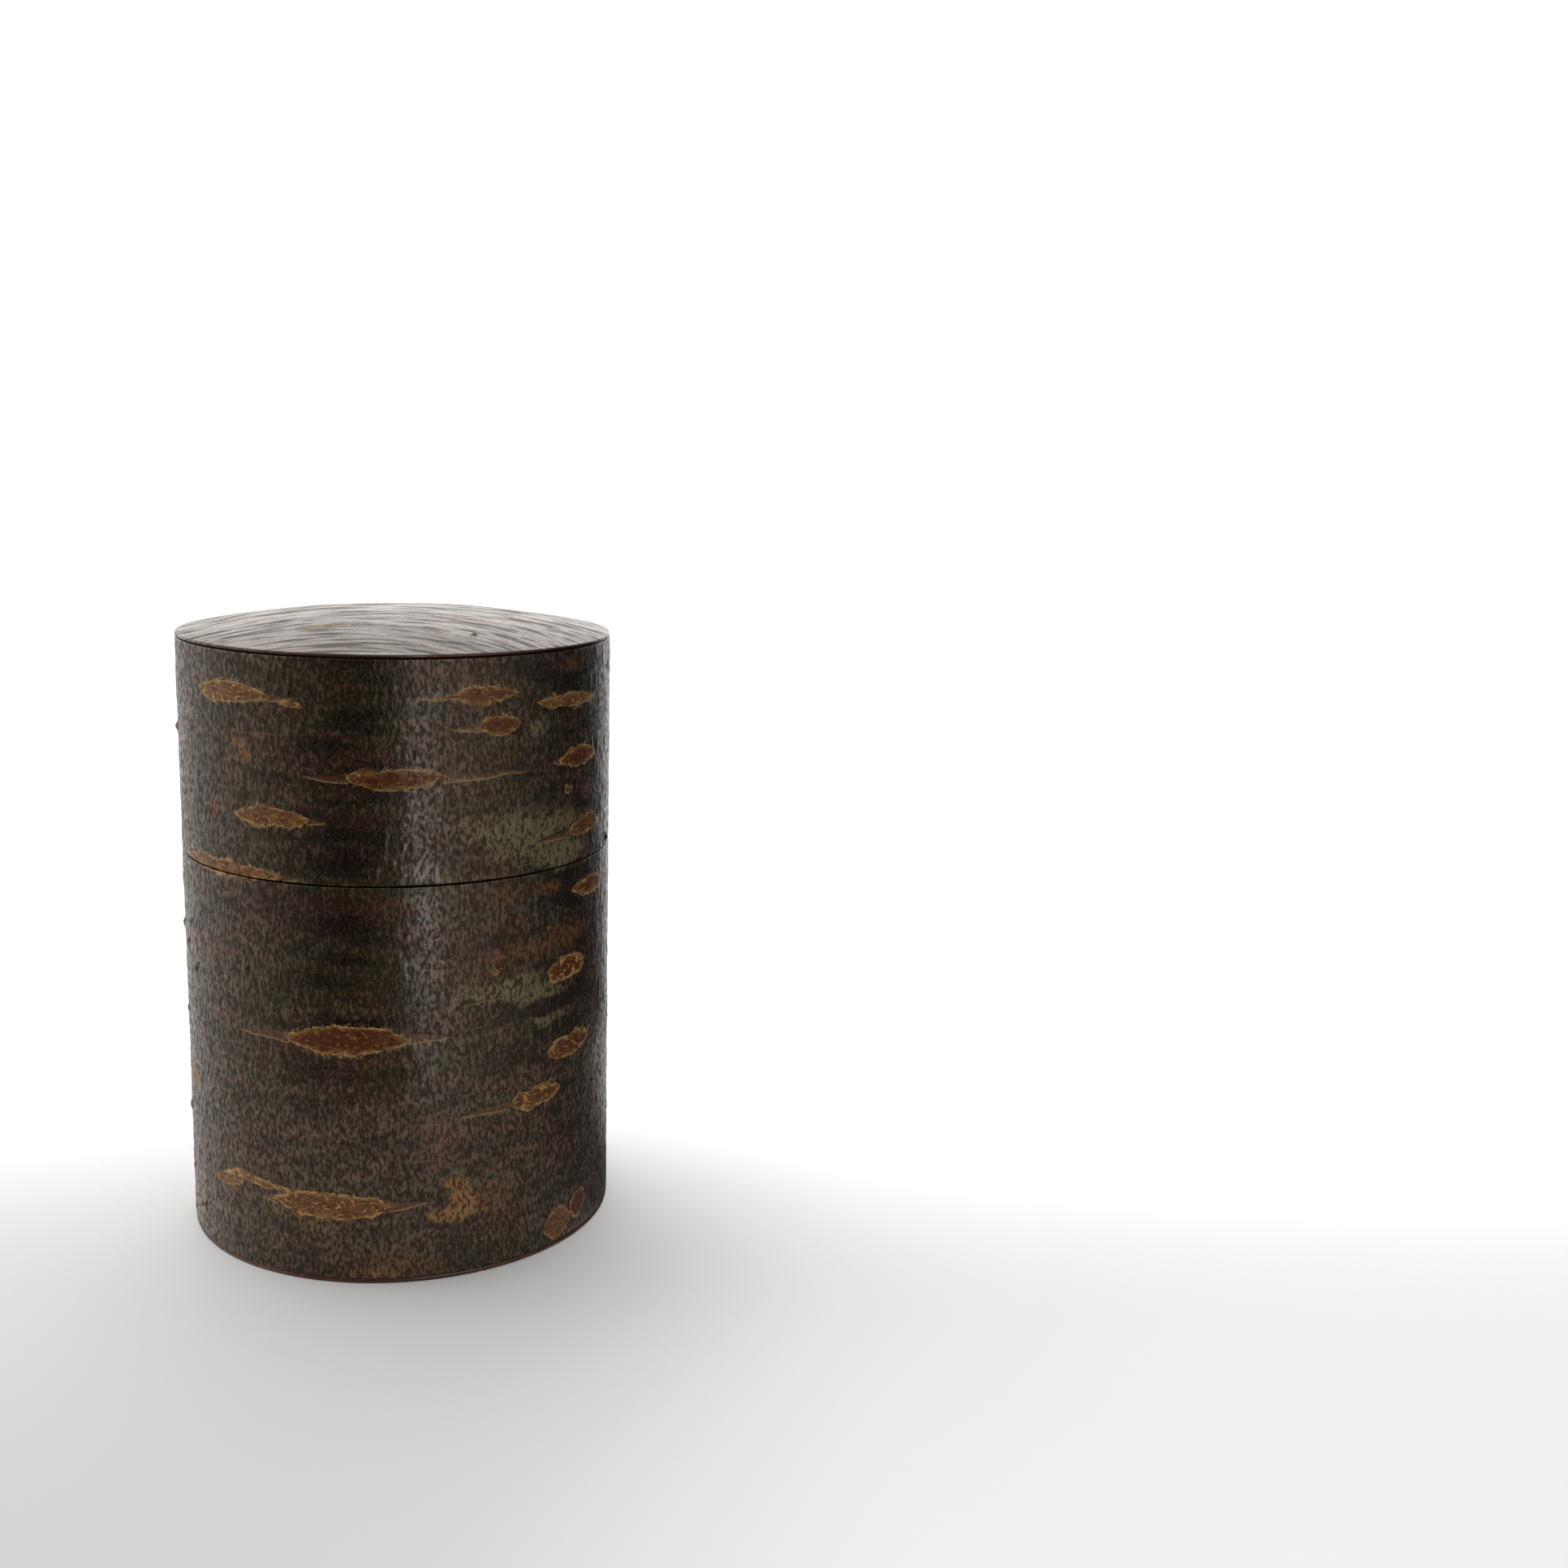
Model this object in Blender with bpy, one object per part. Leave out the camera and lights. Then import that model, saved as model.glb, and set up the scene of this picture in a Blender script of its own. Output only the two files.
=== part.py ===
"""A round tea caddy of cherry bark over rolled wood, with an inner lid and a lift-off outer lid.

The body and the outer lid are cut from one closed drum: a rolled wood core with bark outside and inside,
shut by a board at each end. An inner tube, barked on both faces, stands in the body. Its neck rises past
the cut, and the outer lid slides down over it. The inner lid rests on the neck's rim.

Frame: origin at the centre of the underside, +Z up along the axis. Blender's unit here is the metre.
"""

import math

import bmesh
import bpy

MM = 0.001

# Driving sizes
OUTER_RADIUS = 41.0 * MM
RIM_HEIGHT = 116.2 * MM  # to the edge of the lid's top
CROWN = 4.0 * MM  # rise of the lid's top from its edge to its centre
SHOULDER_HEIGHT = 75.0 * MM  # where the drum is cut into body and lid
NECK_RISE = 22.0 * MM  # inner tube above the shoulder

GAP = 0.3 * MM  # glue line between layers, and clearance where one piece rests on or slides in another
OUTER_BARK = 0.9 * MM
CORE_WALL = 1.7 * MM
THIN_BARK = 0.5 * MM  # linings and the inner tube's two faces
INNER_CORE_WALL = 1.6 * MM
END_BARK = 0.8 * MM  # bark discs outside the two end boards
BOARD = 4.0 * MM
CUT_EDGE_BARK = 0.6 * MM  # bark rings that cover a cut wall's end grain

INNER_LID_BOARD = 2.5 * MM
SKIRT_DEPTH = 8.0 * MM
SKIRT_WALL = 1.6 * MM
KNOB_RADIUS = 6.5 * MM
KNOB_WAIST = 4.0 * MM
KNOB_HEIGHT = 7.0 * MM
TENON_RADIUS = 2.4 * MM

EDGE_ROUND = 0.35 * MM  # at the drum's two ends
SMALL_CHAMFER = 0.15 * MM  # on the thin bark rings and cut edges
FACETS_ROUND = 48  # every ring shares its facets' angles, so the gaps stay even all the way round

# Radii, from the outside in
BARK_INNER = OUTER_RADIUS - OUTER_BARK
CORE_OUTER = BARK_INNER - GAP
CORE_INNER = CORE_OUTER - CORE_WALL
LINING_OUTER = CORE_INNER - GAP
LINING_INNER = LINING_OUTER - THIN_BARK
NECK_OUTER = LINING_INNER - GAP
NECK_BARK_INNER = NECK_OUTER - THIN_BARK
NECK_CORE_OUTER = NECK_BARK_INNER - GAP
NECK_CORE_INNER = NECK_CORE_OUTER - INNER_CORE_WALL
MOUTH_LINING_OUTER = NECK_CORE_INNER - GAP
MOUTH_RADIUS = MOUTH_LINING_OUTER - THIN_BARK

# Heights of the body, from the table up
BASE_BOARD_BOTTOM = END_BARK + GAP
BASE_BOARD_TOP = BASE_BOARD_BOTTOM + BOARD
FLOOR_BOTTOM = BASE_BOARD_TOP + GAP
FLOOR_TOP = FLOOR_BOTTOM + THIN_BARK
TUBES_BOTTOM = FLOOR_TOP + GAP
SHOULDER_RING_BOTTOM = SHOULDER_HEIGHT - CUT_EDGE_BARK
NECK_TOP = SHOULDER_HEIGHT + NECK_RISE
NECK_RING_BOTTOM = NECK_TOP - CUT_EDGE_BARK

# Heights of the outer lid
LID_BOTTOM = SHOULDER_HEIGHT + GAP
LID_RING_TOP = LID_BOTTOM + CUT_EDGE_BARK
TOP_BARK_BOTTOM = RIM_HEIGHT - END_BARK
LID_WALL_TOP = TOP_BARK_BOTTOM - GAP
TOP_BOARD_BOTTOM = LID_WALL_TOP - BOARD
CEILING_TOP = TOP_BOARD_BOTTOM - GAP
CEILING_BOTTOM = CEILING_TOP - THIN_BARK
LID_LINING_TOP = CEILING_BOTTOM - GAP

# The inner lid, which rests on the neck's rim
UNDER_BARK_BOTTOM = NECK_TOP + GAP
UNDER_BARK_TOP = UNDER_BARK_BOTTOM + THIN_BARK
INNER_BOARD_BOTTOM = UNDER_BARK_TOP + GAP
INNER_BOARD_TOP = INNER_BOARD_BOTTOM + INNER_LID_BOARD
INNER_TOP_BARK_BOTTOM = INNER_BOARD_TOP + GAP
INNER_LID_TOP = INNER_TOP_BARK_BOTTOM + THIN_BARK
INNER_PLATE_RADIUS = NECK_BARK_INNER - GAP
SKIRT_TOP = UNDER_BARK_BOTTOM - GAP
SKIRT_BOTTOM = SKIRT_TOP - SKIRT_DEPTH
SKIRT_OUTER = MOUTH_RADIUS - GAP
SKIRT_BARK_INNER = SKIRT_OUTER - THIN_BARK
SKIRT_CORE_OUTER = SKIRT_BARK_INNER - GAP
SKIRT_CORE_INNER = SKIRT_CORE_OUTER - SKIRT_WALL
SKIRT_LINING_OUTER = SKIRT_CORE_INNER - GAP
SKIRT_INNER = SKIRT_LINING_OUTER - THIN_BARK
SKIRT_WALL_BOTTOM = SKIRT_BOTTOM + CUT_EDGE_BARK + GAP
KNOB_BOTTOM = INNER_LID_TOP + GAP
KNOB_TOP = KNOB_BOTTOM + KNOB_HEIGHT
TENON_BOTTOM = INNER_BOARD_BOTTOM


def clear_scene():
    for obj in list(bpy.data.objects):
        bpy.data.objects.remove(obj)


def finish(name, colour, roughness):
    """A Principled material with the piece's plain colour and roughness."""
    material = bpy.data.materials.new(name)
    material.use_nodes = True
    shader = material.node_tree.nodes["Principled BSDF"]
    shader.inputs["Base Color"].default_value = (*colour, 1.0)
    shader.inputs["Roughness"].default_value = roughness
    shader.inputs["Metallic"].default_value = 0.0
    return material


def turned(name, outline, material, parent, edge_cut=0.0):
    """A solid turned about the axis from a closed outline of (radius, height) points in the XZ plane.

    Its sharp edges are cut back by edge_cut: in two steps at the drum's ends, and in one anywhere else.
    """
    shape = bmesh.new()
    verts = [shape.verts.new((radius, 0.0, height)) for radius, height in outline]
    edges = [shape.edges.new((a, b)) for a, b in zip(verts, verts[1:] + verts[:1])]
    bmesh.ops.spin(
        shape,
        geom=verts + edges,
        cent=(0.0, 0.0, 0.0),
        axis=(0.0, 0.0, 1.0),
        angle=math.tau,
        steps=FACETS_ROUND,
        use_merge=True,
    )
    # An outline's edge that lies on the axis turns into faces with no area, which the weld removes.
    bmesh.ops.remove_doubles(shape, verts=shape.verts, dist=0.001 * MM)
    bmesh.ops.dissolve_degenerate(shape, edges=shape.edges, dist=0.001 * MM)
    loose = [edge for edge in shape.edges if not edge.link_faces]
    bmesh.ops.delete(shape, geom=loose, context="EDGES")
    bmesh.ops.recalc_face_normals(shape, faces=shape.faces)
    mesh = bpy.data.meshes.new(name)
    shape.to_mesh(mesh)
    shape.free()
    mesh.shade_smooth()
    mesh.set_sharp_from_angle(angle=math.radians(35))
    mesh.materials.append(material)
    obj = bpy.data.objects.new(name, mesh)
    obj.parent = parent
    bpy.context.scene.collection.objects.link(obj)
    if edge_cut:
        bevel = obj.modifiers.new("edge_cut", "BEVEL")
        bevel.width = edge_cut
        bevel.segments = 2 if edge_cut == EDGE_ROUND else 1
        bevel.limit_method = "ANGLE"
        bevel.angle_limit = math.radians(50)
    return obj


def ring(name, inner, outer, bottom, top, material, parent, edge_cut=0.0):
    outline = [(outer, top), (outer, bottom), (inner, bottom), (inner, top)]
    return turned(name, outline, material, parent, edge_cut)


def disc(name, radius, bottom, top, material, parent, edge_cut=0.0):
    outline = [(0.0, top), (radius, top), (radius, bottom), (0.0, bottom)]
    return turned(name, outline, material, parent, edge_cut)


def crowned(height, radius):
    """Height of a crowned face at this radius, where height is its edge's, at OUTER_RADIUS."""
    return height + CROWN * (1.0 - (radius / OUTER_RADIUS) ** 2)


def crowned_line(height, radius, points=5):
    """Points of a crowned face from the axis out to a radius."""
    radii = [radius * i / points for i in range(points + 1)]
    return [(r, crowned(height, r)) for r in radii]


def body_assembly(parent, bark, thin_bark, wood):
    """The standing half of the drum, with the inner tube and its neck."""
    disc("base_bark", OUTER_RADIUS, 0.0, END_BARK, bark, parent, EDGE_ROUND)
    disc("base_board", LINING_OUTER, BASE_BOARD_BOTTOM, BASE_BOARD_TOP, wood, parent)
    disc("floor_bark", LINING_OUTER, FLOOR_BOTTOM, FLOOR_TOP, thin_bark, parent)
    ring("body_bark_sleeve", BARK_INNER, OUTER_RADIUS, BASE_BOARD_BOTTOM, SHOULDER_HEIGHT,
         bark, parent, SMALL_CHAMFER)
    ring("body_core", CORE_INNER, CORE_OUTER, BASE_BOARD_BOTTOM, SHOULDER_RING_BOTTOM - GAP, wood, parent)
    ring("body_core_lining", LINING_INNER, LINING_OUTER, TUBES_BOTTOM, SHOULDER_RING_BOTTOM - GAP,
         thin_bark, parent)
    ring("body_shoulder_ring", LINING_INNER, CORE_OUTER, SHOULDER_RING_BOTTOM, SHOULDER_HEIGHT,
         thin_bark, parent, SMALL_CHAMFER)
    tube_top = NECK_RING_BOTTOM - GAP
    ring("inner_tube_bark", NECK_BARK_INNER, NECK_OUTER, TUBES_BOTTOM, tube_top, thin_bark, parent)
    ring("inner_tube_core", NECK_CORE_INNER, NECK_CORE_OUTER, TUBES_BOTTOM, tube_top, wood, parent)
    ring("inner_tube_lining", MOUTH_RADIUS, MOUTH_LINING_OUTER, TUBES_BOTTOM, tube_top, thin_bark, parent)
    ring("neck_rim_ring", MOUTH_RADIUS, NECK_OUTER, NECK_RING_BOTTOM, NECK_TOP, thin_bark, parent,
         SMALL_CHAMFER)


def lid_assembly(parent, bark, thin_bark, wood):
    """The lifting half of the drum, closed by a board under a crowned bark disc."""
    ring("lid_bark_sleeve", BARK_INNER, OUTER_RADIUS, LID_BOTTOM, LID_WALL_TOP, bark, parent, SMALL_CHAMFER)
    ring("lid_core", CORE_INNER, CORE_OUTER, LID_RING_TOP + GAP, LID_WALL_TOP, wood, parent)
    ring("lid_core_lining", LINING_INNER, LINING_OUTER, LID_RING_TOP + GAP, LID_LINING_TOP,
         thin_bark, parent)
    ring("lid_edge_ring", LINING_INNER, CORE_OUTER, LID_BOTTOM, LID_RING_TOP, thin_bark, parent,
         SMALL_CHAMFER)
    board_outline = crowned_line(LID_WALL_TOP, LINING_OUTER)
    board_outline += [(LINING_OUTER, TOP_BOARD_BOTTOM), (0.0, TOP_BOARD_BOTTOM)]
    turned("lid_top_board", board_outline, wood, parent)
    bark_outline = crowned_line(RIM_HEIGHT, OUTER_RADIUS)
    bark_outline += reversed(crowned_line(TOP_BARK_BOTTOM, OUTER_RADIUS))
    turned("lid_top_bark", bark_outline, bark, parent, EDGE_ROUND)
    disc("lid_ceiling_bark", LINING_OUTER, CEILING_BOTTOM, CEILING_TOP, thin_bark, parent)


def knob_outline():
    """The knob's turned outline: a crowned button over a waist, with a tenon that goes into the board."""
    button_middle = KNOB_BOTTOM + KNOB_HEIGHT * 0.62
    button_half = KNOB_TOP - button_middle
    outline = [(0.0, KNOB_TOP)]
    for degrees in range(90, -61, -30):
        angle = math.radians(degrees)
        outline.append((
            KNOB_RADIUS - button_half * (1.0 - math.cos(angle)),
            button_middle + button_half * math.sin(angle),
        ))
    outline += [
        (KNOB_WAIST, KNOB_BOTTOM + KNOB_HEIGHT * 0.22),
        (KNOB_WAIST * 1.15, KNOB_BOTTOM),
        (TENON_RADIUS, KNOB_BOTTOM),
        (TENON_RADIUS, TENON_BOTTOM),
        (0.0, TENON_BOTTOM),
    ]
    return outline


def inner_lid_assembly(parent, thin_bark, wood, stacked_bark):
    """The plate that rests on the neck's rim, the skirt that guides it, and the knob that lifts it."""
    hole = TENON_RADIUS + GAP
    ring("inner_lid_board", hole, INNER_PLATE_RADIUS, INNER_BOARD_BOTTOM, INNER_BOARD_TOP, wood, parent)
    ring("inner_lid_top_bark", hole, INNER_PLATE_RADIUS, INNER_TOP_BARK_BOTTOM, INNER_LID_TOP,
         thin_bark, parent)
    disc("inner_lid_under_bark", INNER_PLATE_RADIUS, UNDER_BARK_BOTTOM, UNDER_BARK_TOP, thin_bark, parent)
    ring("inner_lid_edge_band", NECK_BARK_INNER, NECK_OUTER, UNDER_BARK_BOTTOM, INNER_LID_TOP,
         thin_bark, parent, SMALL_CHAMFER)
    ring("inner_lid_skirt_core", SKIRT_CORE_INNER, SKIRT_CORE_OUTER, SKIRT_WALL_BOTTOM, SKIRT_TOP,
         wood, parent)
    ring("inner_lid_skirt_bark", SKIRT_BARK_INNER, SKIRT_OUTER, SKIRT_WALL_BOTTOM, SKIRT_TOP,
         thin_bark, parent)
    ring("inner_lid_skirt_lining", SKIRT_INNER, SKIRT_LINING_OUTER, SKIRT_WALL_BOTTOM, SKIRT_TOP,
         thin_bark, parent)
    ring("inner_lid_skirt_edge", SKIRT_INNER, SKIRT_OUTER, SKIRT_BOTTOM, SKIRT_BOTTOM + CUT_EDGE_BARK,
         thin_bark, parent, SMALL_CHAMFER)
    turned("inner_lid_knob", knob_outline(), stacked_bark, parent)


def main():
    clear_scene()
    bark = finish("frosted_cherry_bark", (0.085, 0.066, 0.048), 0.42)
    thin_bark = finish("polished_thin_bark", (0.105, 0.032, 0.016), 0.30)
    wood = finish("rolled_core_wood", (0.52, 0.36, 0.20), 0.65)
    stacked_bark = finish("stacked_bark", (0.070, 0.020, 0.010), 0.25)
    caddy = bpy.data.objects.new("caddy", None)
    lid = bpy.data.objects.new("lid", None)
    inner_lid = bpy.data.objects.new("inner_lid", None)
    for empty in (caddy, lid, inner_lid):
        bpy.context.scene.collection.objects.link(empty)
    inner_lid.parent = caddy
    lid.parent = inner_lid
    body_assembly(caddy, bark, thin_bark, wood)
    lid_assembly(lid, bark, thin_bark, wood)
    inner_lid_assembly(inner_lid, thin_bark, wood, stacked_bark)


main()
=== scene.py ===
"""A round tea caddy of frosted cherry bark over rolled wood, standing closed on a pale table.

The outside is wild cherry bark with its wrinkles and lenticels kept. Everything that shows only when the
caddy is open is thin bark, scraped and polished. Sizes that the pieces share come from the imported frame.
"""
import math
import random

import bpy
import numpy as np
from mathutils import Matrix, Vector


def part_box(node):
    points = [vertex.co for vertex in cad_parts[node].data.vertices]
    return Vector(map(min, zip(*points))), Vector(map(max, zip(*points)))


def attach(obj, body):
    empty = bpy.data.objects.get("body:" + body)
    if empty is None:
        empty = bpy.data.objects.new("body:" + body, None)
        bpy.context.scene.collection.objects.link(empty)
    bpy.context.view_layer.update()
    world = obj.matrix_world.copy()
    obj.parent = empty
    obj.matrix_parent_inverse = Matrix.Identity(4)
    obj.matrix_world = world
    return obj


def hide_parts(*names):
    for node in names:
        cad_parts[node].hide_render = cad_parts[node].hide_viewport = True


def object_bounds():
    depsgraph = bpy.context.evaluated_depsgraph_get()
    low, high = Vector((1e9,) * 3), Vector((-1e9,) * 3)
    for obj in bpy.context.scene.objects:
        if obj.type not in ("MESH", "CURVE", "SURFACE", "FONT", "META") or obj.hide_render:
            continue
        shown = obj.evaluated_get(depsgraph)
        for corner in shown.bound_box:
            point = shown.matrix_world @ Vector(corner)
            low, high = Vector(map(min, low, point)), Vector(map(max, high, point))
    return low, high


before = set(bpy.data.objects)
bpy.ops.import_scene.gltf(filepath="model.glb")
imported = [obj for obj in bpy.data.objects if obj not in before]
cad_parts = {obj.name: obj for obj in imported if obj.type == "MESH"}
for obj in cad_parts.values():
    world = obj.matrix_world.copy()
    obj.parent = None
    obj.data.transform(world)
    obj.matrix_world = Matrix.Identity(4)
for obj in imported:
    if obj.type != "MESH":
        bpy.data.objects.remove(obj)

cad_low, cad_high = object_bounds()
MM = 0.001


# Camera
# A phone camera held in the hand, a little above the lid. It looks past the caddy's right side and
# slightly down, and it is tilted a degree and a half.
camera_data = bpy.data.cameras.new("camera")
camera_data.sensor_width = 36.0
camera_data.lens = 41.4
camera = bpy.data.objects.new("camera", camera_data)
bpy.context.scene.collection.objects.link(camera)
look_down = Matrix.Rotation(math.radians(90.0 - 11.14), 4, "X")
hand_tilt = Matrix.Rotation(math.radians(1.53), 4, "Z")
camera.matrix_world = Matrix.Translation((0.0757, -0.3482, 0.1562)) @ look_down @ hand_tilt
bpy.context.scene.camera = camera
bpy.context.scene.view_settings.view_transform = "Standard"


# Table and light
# A matt white sweep with a painted glow that makes it brighter towards the back, under a wide sky and one
# soft overhead light. A surround of white paper, which only reflections see, carries the bright and dark
# directions of the room.
def node(tree, kind, inputs=None, **settings):
    """Adds a node to a tree, sets it, and gives its inputs values or links them to other nodes' outputs."""
    made = tree.nodes.new("ShaderNode" + kind)
    for name, value in settings.items():
        setattr(made, name, value)
    for key, value in (inputs or {}).items():
        if isinstance(value, bpy.types.NodeSocket):
            tree.links.new(value, made.inputs[key])
        else:
            made.inputs[key].default_value = value
    return made


def maths(tree, operation, a, b=0.0):
    return node(tree, "Math", {0: a, 1: b}, operation=operation).outputs[0]


def plus(tree, a, b):
    return maths(tree, "ADD", a, b)


def minus(tree, a, b):
    return maths(tree, "SUBTRACT", a, b)


def times(tree, a, b):
    return maths(tree, "MULTIPLY", a, b)


def vector_maths(tree, operation, *operands):
    return node(tree, "VectorMath", dict(enumerate(operands)), operation=operation).outputs[0]


def smooth_step(tree, value, low, high, start=0.0, end=1.0):
    """A value eased from start to end as it rises from low to high."""
    sockets = {"Value": value, "From Min": low, "From Max": high, "To Min": start, "To Max": end}
    return node(tree, "MapRange", sockets, interpolation_type="SMOOTHSTEP").outputs["Result"]


def colour_ramp(tree, value, stops):
    """Colours at places from 0 to 1, eased between. A stop's colour is three numbers, or one for a grey."""
    ramp = node(tree, "ValToRGB", {"Fac": value})
    elements = ramp.color_ramp.elements
    while len(elements) < len(stops):
        elements.new(0.5)
    for element, (place, colour) in zip(elements, stops):
        element.position = place
        element.color = (*(colour if hasattr(colour, "__len__") else (colour,) * 3), 1.0)
    return ramp.outputs["Color"]


def mix_colour(tree, mask, under, over):
    """Under where the mask is 0, over where it is 1. Each is three numbers, or another node's colour."""
    under, over = ((*colour, 1.0) if isinstance(colour, tuple) else colour for colour in (under, over))
    return node(tree, "Mix", {0: mask, 6: under, 7: over}, data_type="RGBA").outputs[2]


def darken(tree, colour, mask, amount):
    """The colour, dimmed by up to amount where the mask is 1."""
    keep = minus(tree, 1.0, times(tree, mask, amount))
    made = node(tree, "VectorMath", {0: colour, "Scale": keep}, operation="SCALE")
    return made.outputs[0]


def new_material(name):
    material = bpy.data.materials.new(name)
    material.use_nodes = True
    return material, material.node_tree, material.node_tree.nodes["Principled BSDF"]


def finish_surface(tree, shader, colour, roughness, relief, strength, depth):
    """Links a material's colour and roughness, and a bump of so many millimetres from its relief."""
    tree.links.new(colour, shader.inputs["Base Color"])
    tree.links.new(roughness, shader.inputs["Roughness"])
    bump = node(tree, "Bump", {"Height": relief, "Strength": strength, "Distance": depth * MM})
    tree.links.new(bump.outputs["Normal"], shader.inputs["Normal"])


def add_mesh(name, points, faces, material):
    mesh = bpy.data.meshes.new(name)
    mesh.from_pydata(points, [], faces)
    mesh.materials.append(material)
    mesh.shade_smooth()
    piece = bpy.data.objects.new(name, mesh)
    bpy.context.scene.collection.objects.link(piece)
    return piece


def ring_point(radius, height, k, count):
    """One of count points round the drum's axis, from the front over the right."""
    turn = math.tau * k / count
    return radius * math.sin(turn), -radius * math.cos(turn), height


def ring_faces(rings, columns):
    """Quads between closed rings of points, from the first ring to the last, facing left of their travel."""
    first = np.arange(columns)
    after = np.roll(first, -1)
    starts = np.arange(rings - 1) * columns
    quads = [np.stack([s + first, s + after, s + columns + after, s + columns + first], 1) for s in starts]
    return np.concatenate(quads).tolist()


def turn_from_back(tree, direction):
    """A direction's bearing, 0 at the back, 0.25 left, 0.5 at the front and 0.75 right, and its rise."""
    way = node(tree, "SeparateXYZ", {0: direction})
    bearing = maths(tree, "ARCTAN2", way.outputs["X"], times(tree, way.outputs["Y"], -1.0))
    return plus(tree, maths(tree, "DIVIDE", bearing, math.tau), 0.5), way.outputs["Z"]


# To the eye the sheet is white, greyed by painted shade near the left corner, and it glows softly with
# painted light further off and beside the caddy's right. To the caddy it is warm, with painted light on some
# sides only.
table_paint, tree, shader = new_material("table_paint")
place = node(tree, "TexCoord").outputs["Object"]
way = node(tree, "SeparateXYZ", {0: place})
to_right, to_back = way.outputs["X"], way.outputs["Y"]
turn, _ = turn_from_back(tree, place)
seen = node(tree, "LightPath").outputs["Is Camera Ray"]
# Painted light and shade for rays from the caddy: the sheet is near black far off in front and on the right,
# brightest just in front.
lit_sides = colour_ramp(tree, turn, [
    (0.00, 0.42), (0.10, 0.34), (0.20, 0.50), (0.40, 1.0), (0.60, 1.0), (0.67, 0.80), (0.71, 0.45),
    (0.74, 0.10), (0.81, 0.05), (0.83, 0.12), (0.86, 0.30), (0.95, 0.50),
])
lit_sheet = times(tree, smooth_step(tree, to_back, -0.30, -0.08), lit_sides)
warm_painted_light = mix_colour(tree, lit_sheet, (0.05, 0.045, 0.04), (0.86, 0.79, 0.71))
# Painted shade: for the camera the sheet turns greyer towards its front left corner.
painted_shade_near_left = times(tree, smooth_step(tree, to_back, -0.02, -0.17),
                  smooth_step(tree, to_right, 0.10, -0.04))
white_sheet = mix_colour(tree, painted_shade_near_left, (0.87, 0.87, 0.865), (0.68, 0.68, 0.675))
tree.links.new(mix_colour(tree, seen, warm_painted_light, white_sheet), shader.inputs["Base Color"])
shader.inputs["Roughness"].default_value = 0.8
shader.inputs["Specular IOR Level"].default_value = 0.2
# Painted light: the sheet glows towards the back, beside the caddy's right and far off, though it is no
# lamp.
back_glow = times(tree, smooth_step(tree, to_back, -0.05, 0.12, 0.0, 0.6),
                  maths(tree, "MAXIMUM", lit_sides, seen))
right_glow = times(tree, smooth_step(tree, to_right, 0.02, 0.10, 0.02, 0.12), seen)
distance = node(tree, "VectorMath", {0: place}, operation="LENGTH").outputs["Value"]
far_glow = times(tree, smooth_step(tree, distance, 0.35, 1.3, 0.0, 0.6), seen)
glow = maths(tree, "MAXIMUM", plus(tree, back_glow, right_glow), far_glow)
shader.inputs["Emission Color"].default_value = (1.0, 1.0, 1.0, 1.0)
tree.links.new(glow, shader.inputs["Emission Strength"])
TABLE_HALF = 6.0
corners = [(x * TABLE_HALF, y * TABLE_HALF, 0.0) for x, y in ((-1, -1), (1, -1), (1, 1), (-1, 1))]
table = add_mesh("table", corners, [(0, 1, 2, 3)], table_paint)

# The sky is bright overhead, and near the horizon it is dim at the front and on the right.
world = bpy.data.worlds.new("sky")
bpy.context.scene.world = world
world.use_nodes = True
tree = world.node_tree
turn, rise = turn_from_back(tree, node(tree, "TexCoord").outputs["Generated"])
around = colour_ramp(tree, turn, [
    (0.00, 1.0), (0.27, 0.9), (0.36, 0.40), (0.44, 0.03), (0.53, 0.03), (0.60, 0.35), (0.74, 0.10),
    (0.90, 0.8),
])
sky_light = mix_colour(tree, smooth_step(tree, rise, 0.60, 0.98), around, (1.05, 1.05, 1.05))
seen = node(tree, "LightPath").outputs["Is Camera Ray"]
sky_or_backdrop = mix_colour(tree, seen, sky_light, (1.2, 1.2, 1.2))
tree.links.new(sky_or_backdrop, tree.nodes["Background"].inputs["Color"])

# The surround glows by bearing: pale at the left edge, dark in the middle, and a bright band beside it.
surround_paper, tree, shader = new_material("surround_paper")
tree.nodes.remove(shader)
turn, rise = turn_from_back(tree, node(tree, "TexCoord").outputs["Object"])
brightness = colour_ramp(tree, turn, [
    (0.00, (0.66, 0.64, 0.62)), (0.24, (0.60, 0.56, 0.52)), (0.30, (0.66, 0.59, 0.53)),
    (0.355, (0.48, 0.42, 0.36)), (0.41, 0.12), (0.455, 0.00), (0.50, 0.01), (0.535, 0.16),
    (0.556, (1.04, 1.04, 1.06)), (0.574, (1.04, 1.04, 1.06)), (0.605, (0.78, 0.72, 0.64)),
    (0.66, (0.52, 0.46, 0.38)), (0.74, 0.16), (0.80, 0.03), (0.89, 0.03), (0.94, 0.75),
])
place = node(tree, "TexCoord").outputs["Object"]
reach = node(tree, "VectorMath", {0: place}, operation="LENGTH").outputs["Value"]
WINDOW_TURN = 0.566  # here a window's light falls on the near part of the floor
off_window = maths(tree, "ABSOLUTE", minus(tree, turn, WINDOW_TURN))
window_spot = times(tree, smooth_step(tree, reach, 0.18, 0.30), smooth_step(tree, reach, 0.62, 0.42))
window_spot = times(tree, window_spot, smooth_step(tree, off_window, 0.022, 0.008))
strength = plus(tree, times(tree, window_spot, 1.5), 1.0)
strength = plus(tree, strength, smooth_step(tree, rise, 0.04, 0.16, 0.0, 0.8))
glow = node(tree, "Emission", {"Color": brightness, "Strength": strength})
tree.links.new(glow.outputs[0], tree.nodes["Material Output"].inputs["Surface"])
SURROUND_SIDES = 96
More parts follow.
